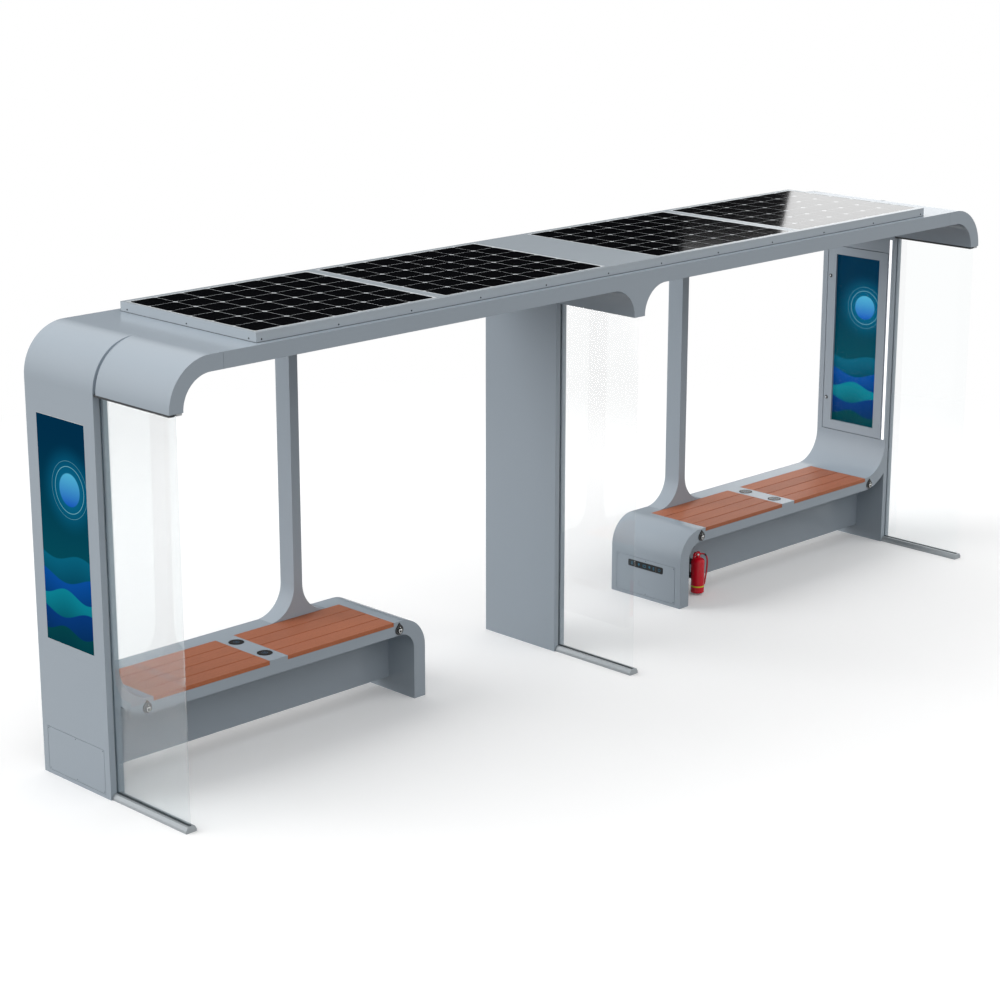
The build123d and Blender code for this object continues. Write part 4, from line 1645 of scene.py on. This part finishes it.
@dataclass(frozen=True)
class Card:
    """A stretch of a ring, far round the shelter, that only gloss sees.

    Its bearings, start and end, are in degrees clockwise from +Y round the middle of the
    shelter, and low and high are its elevations from there. Its lean is how far its top is
    turned round from its foot, so that its upright edges slant.
    """

    name: str
    start: float
    end: float
    low: float
    high: float
    glow: float = 0.0
    lean: float = 0.0
    radius: float = 32.0
    panels: int = 720

    def build(self) -> None:
        """Stand the card in its place."""
        material, _, _ = start_material(
            f"{self.name.replace('_', ' ')} cloth", Base_Color=(0.004, 0.004, 0.004, 1), Roughness=1.0,
            Specular_IOR_Level=0.0, Emission_Color=(1, 1, 1, 1), Emission_Strength=self.glow)
        foot, top = (self.radius * math.tan(math.radians(angle)) for angle in (self.low, self.high))
        clear_selection()
        bpy.ops.mesh.primitive_cylinder_add(vertices=self.panels, radius=self.radius, depth=top - foot,
                                            end_fill_type="NOTHING", location=(0, 0, (top + foot) / 2))
        card = bake_place(bpy.context.object)
        open_with(card, Part.FACES, self._outside)
        bpy.ops.mesh.delete(type="FACE")
        close_edit()
        open_with(card, Part.POINTS, lambda point: point.co.z > foot + 1)
        bpy.ops.transform.rotate(value=math.radians(self.lean), orient_axis="Z", center_override=(0, 0, 0))
        close_edit()
        card.name = self.name
        card.data.materials.append(material)
        card.visible_camera = False
        card.visible_diffuse = False
        card.visible_transmission = False
        card.visible_shadow = False

    def _outside(self, face: bpy.types.MeshPolygon) -> bool:
        """Whether a panel of the ring lies outside the card's stretch."""
        bearing = math.degrees(math.atan2(face.center.x, face.center.y))
        return (bearing - self.start) % 360 > self.end - self.start


@dataclass
class Studio:
    """White floor and backdrop, soft lights, the cards that gloss reflects, and the camera."""

    place: tuple[float, float, float] = (-10.8869, -10.4008, 5.3006)
    heading_deg: float = 44.7978
    dip_deg: float = 15.8590
    lean_deg: float = 0.0445
    lens_mm: float = 87.413
    sensor_mm: float = 36.0
    view_end: float = 500.0
    level: float = 0.65
    zenith: float = 0.33
    floor_size: float = 400.0
    floor_shade: str = "6E6E6E"
    floor_glow: float = 0.06
    fade_start: float = 4.2
    fade_end: float = 8.0
    lamps: tuple[tuple[str, tuple[float, float, float], float, float], ...] = (
        ("soft lamp behind the left end", (-0.70, 0.56, 0.42), 1.3, 50.0),
        ("soft lamp in front", (0.10, -0.75, 0.65), 0.2, 60.0))
    cards: tuple[Card, ...] = (
        Card("dark_card", 12.8, 56.5, 0.0, 14.7, lean=-2.8),
        Card("high_dark_card", 10.0, 50.5, 14.7, 19.5),
        Card("grey_card", 10.0, 50.5, 19.5, 28.0, 0.4),
        Card("bright_card", 56.5, 86.8, 0.0, 14.7, 1.6, -2.8),
        Card("high_bright_card", 50.5, 84.0, 14.7, 28.0, 1.7),
        Card("left_card", -75.0, 5.0, 2.0, 55.0, 1.1),
        Card("glint_card", 52.6, 53.8, 14.9, 19.0, 3.0, radius=31.4),
        Card("front_card", 130.0, 260.0, 12.0, 26.0))

    def build(self) -> None:
        """Set up everything that isn't the shelter."""
        self._camera()
        self._world()
        self._floor()
        for lamp in self.lamps:
            self._lamp(*lamp)
        for card in self.cards:
            card.build()

    def _world(self) -> None:
        """White to the camera, gloss and glass; as light on the shelter, softer and strongest overhead."""
        world = bpy.data.worlds.new("white studio")
        bpy.context.scene.world = world
        world.use_nodes = True
        tree = world.node_tree
        way = add_node(tree, "ShaderNodeSeparateXYZ", {}, {
            0: add_node(tree, "ShaderNodeTexCoord").outputs["Generated"]})
        light = sum_up(tree, "MULTIPLY_ADD", way.outputs["Z"], self.zenith, self.level)
        strength = add_node(tree, "ShaderNodeMapRange", {}, {
            "Value": self._seen(tree), "To Min": light, "To Max": 1.0})
        fill(tree, tree.nodes["Background"], {"Color": (1, 1, 1, 1), "Strength": strength.outputs[0]})

    def _seen(self, tree: Tree) -> Socket:
        """One for a ray from the camera, from gloss or through glass, and nought for the rest.

        Args:
            tree: the node tree.

        Returns:
            The number's socket.
        """
        rays = add_node(tree, "ShaderNodeLightPath")
        through = sum_up(tree, "MAXIMUM", rays.outputs["Is Glossy Ray"], rays.outputs["Is Transmission Ray"])
        return sum_up(tree, "MAXIMUM", rays.outputs["Is Camera Ray"], through)

    def _floor(self) -> None:
        """Lay a wide pale floor, which turns plain white far away."""
        clear_selection()
        bpy.ops.mesh.primitive_plane_add(size=self.floor_size, location=(0, 0, 0))
        floor = bpy.context.object
        floor.name = "studio_floor"
        material, tree, shader = start_material(
            "white studio floor", Roughness=0.9, Specular_IOR_Level=0.0, Emission_Color=(1, 1, 1, 1))
        seen = self._seen(tree)
        fill(tree, shader, {"Emission Strength": sum_up(tree, "MULTIPLY", seen, self.floor_glow),
                            "Base Color": between(tree, seen, linear(self.floor_shade), linear("FFFFFF"))})
        far = add_node(tree, "ShaderNodeVectorMath", {"operation": "LENGTH"}, {0: place_on_piece(tree)})
        fade = add_node(tree, "ShaderNodeMapRange", {"interpolation_type": "SMOOTHSTEP"}, {
            "Value": far.outputs["Value"], "From Min": self.fade_start, "From Max": self.fade_end})
        share = sum_up(tree, "MULTIPLY", fade.outputs[0], seen)
        white = add_node(tree, "ShaderNodeEmission", {}, {"Color": (1, 1, 1, 1), "Strength": 1.0})
        both = add_node(tree, "ShaderNodeMixShader", {}, {
            0: share, 1: shader.outputs[0], 2: white.outputs[0]})
        fill(tree, tree.nodes["Material Output"], {"Surface": both.outputs[0]})
        floor.data.materials.append(material)

    def _lamp(self, name: str, towards: tuple[float, float, float], strength: float,
              spread_deg: float) -> None:
        """Hang one broad soft lamp so far off that its light is even.

        Args:
            name: the lamp's name.
            towards: the way from the shelter to the lamp.
            strength: its strength.
            spread_deg: how wide it looks from the shelter.
        """
        lamp = bpy.data.lights.new(name, "SUN")
        lamp.energy = strength
        lamp.angle = math.radians(spread_deg)
        thing = bpy.data.objects.new(name, lamp)
        thing.rotation_euler = Vector(towards).to_track_quat("Z", "Y").to_euler()
        bpy.context.scene.collection.objects.link(thing)

    def _camera(self) -> None:
        """Stand the camera at the front left, a little above the roof."""
        camera = bpy.data.objects.new("camera", bpy.data.cameras.new("camera"))
        camera.data.lens = self.lens_mm
        camera.data.sensor_width = self.sensor_mm
        camera.data.clip_end = self.view_end
        turn = (Matrix.Rotation(math.radians(-self.heading_deg), 4, "Z")
                @ Matrix.Rotation(math.radians(90 - self.dip_deg), 4, "X")
                @ Matrix.Rotation(math.radians(self.lean_deg), 4, "Z"))
        camera.matrix_world = Matrix.Translation(self.place) @ turn
        bpy.context.scene.collection.objects.link(camera)
        bpy.context.scene.camera = camera


def main() -> None:
    """Dress the shelter piece by piece and set up the studio."""
    logging.basicConfig(level=logging.INFO, format="%(message)s")
    bpy.context.scene.view_settings.view_transform = "Standard"
    Studio().build()
    Ribbon().build()
    SolarRoof().build(Screws())
    Seat().build()
    BagHooks().build()
    AccessPlates().build()
    Displays().build()
    Glazing().build()
    Extinguisher().build()


if __name__ == "__main__":
    main()
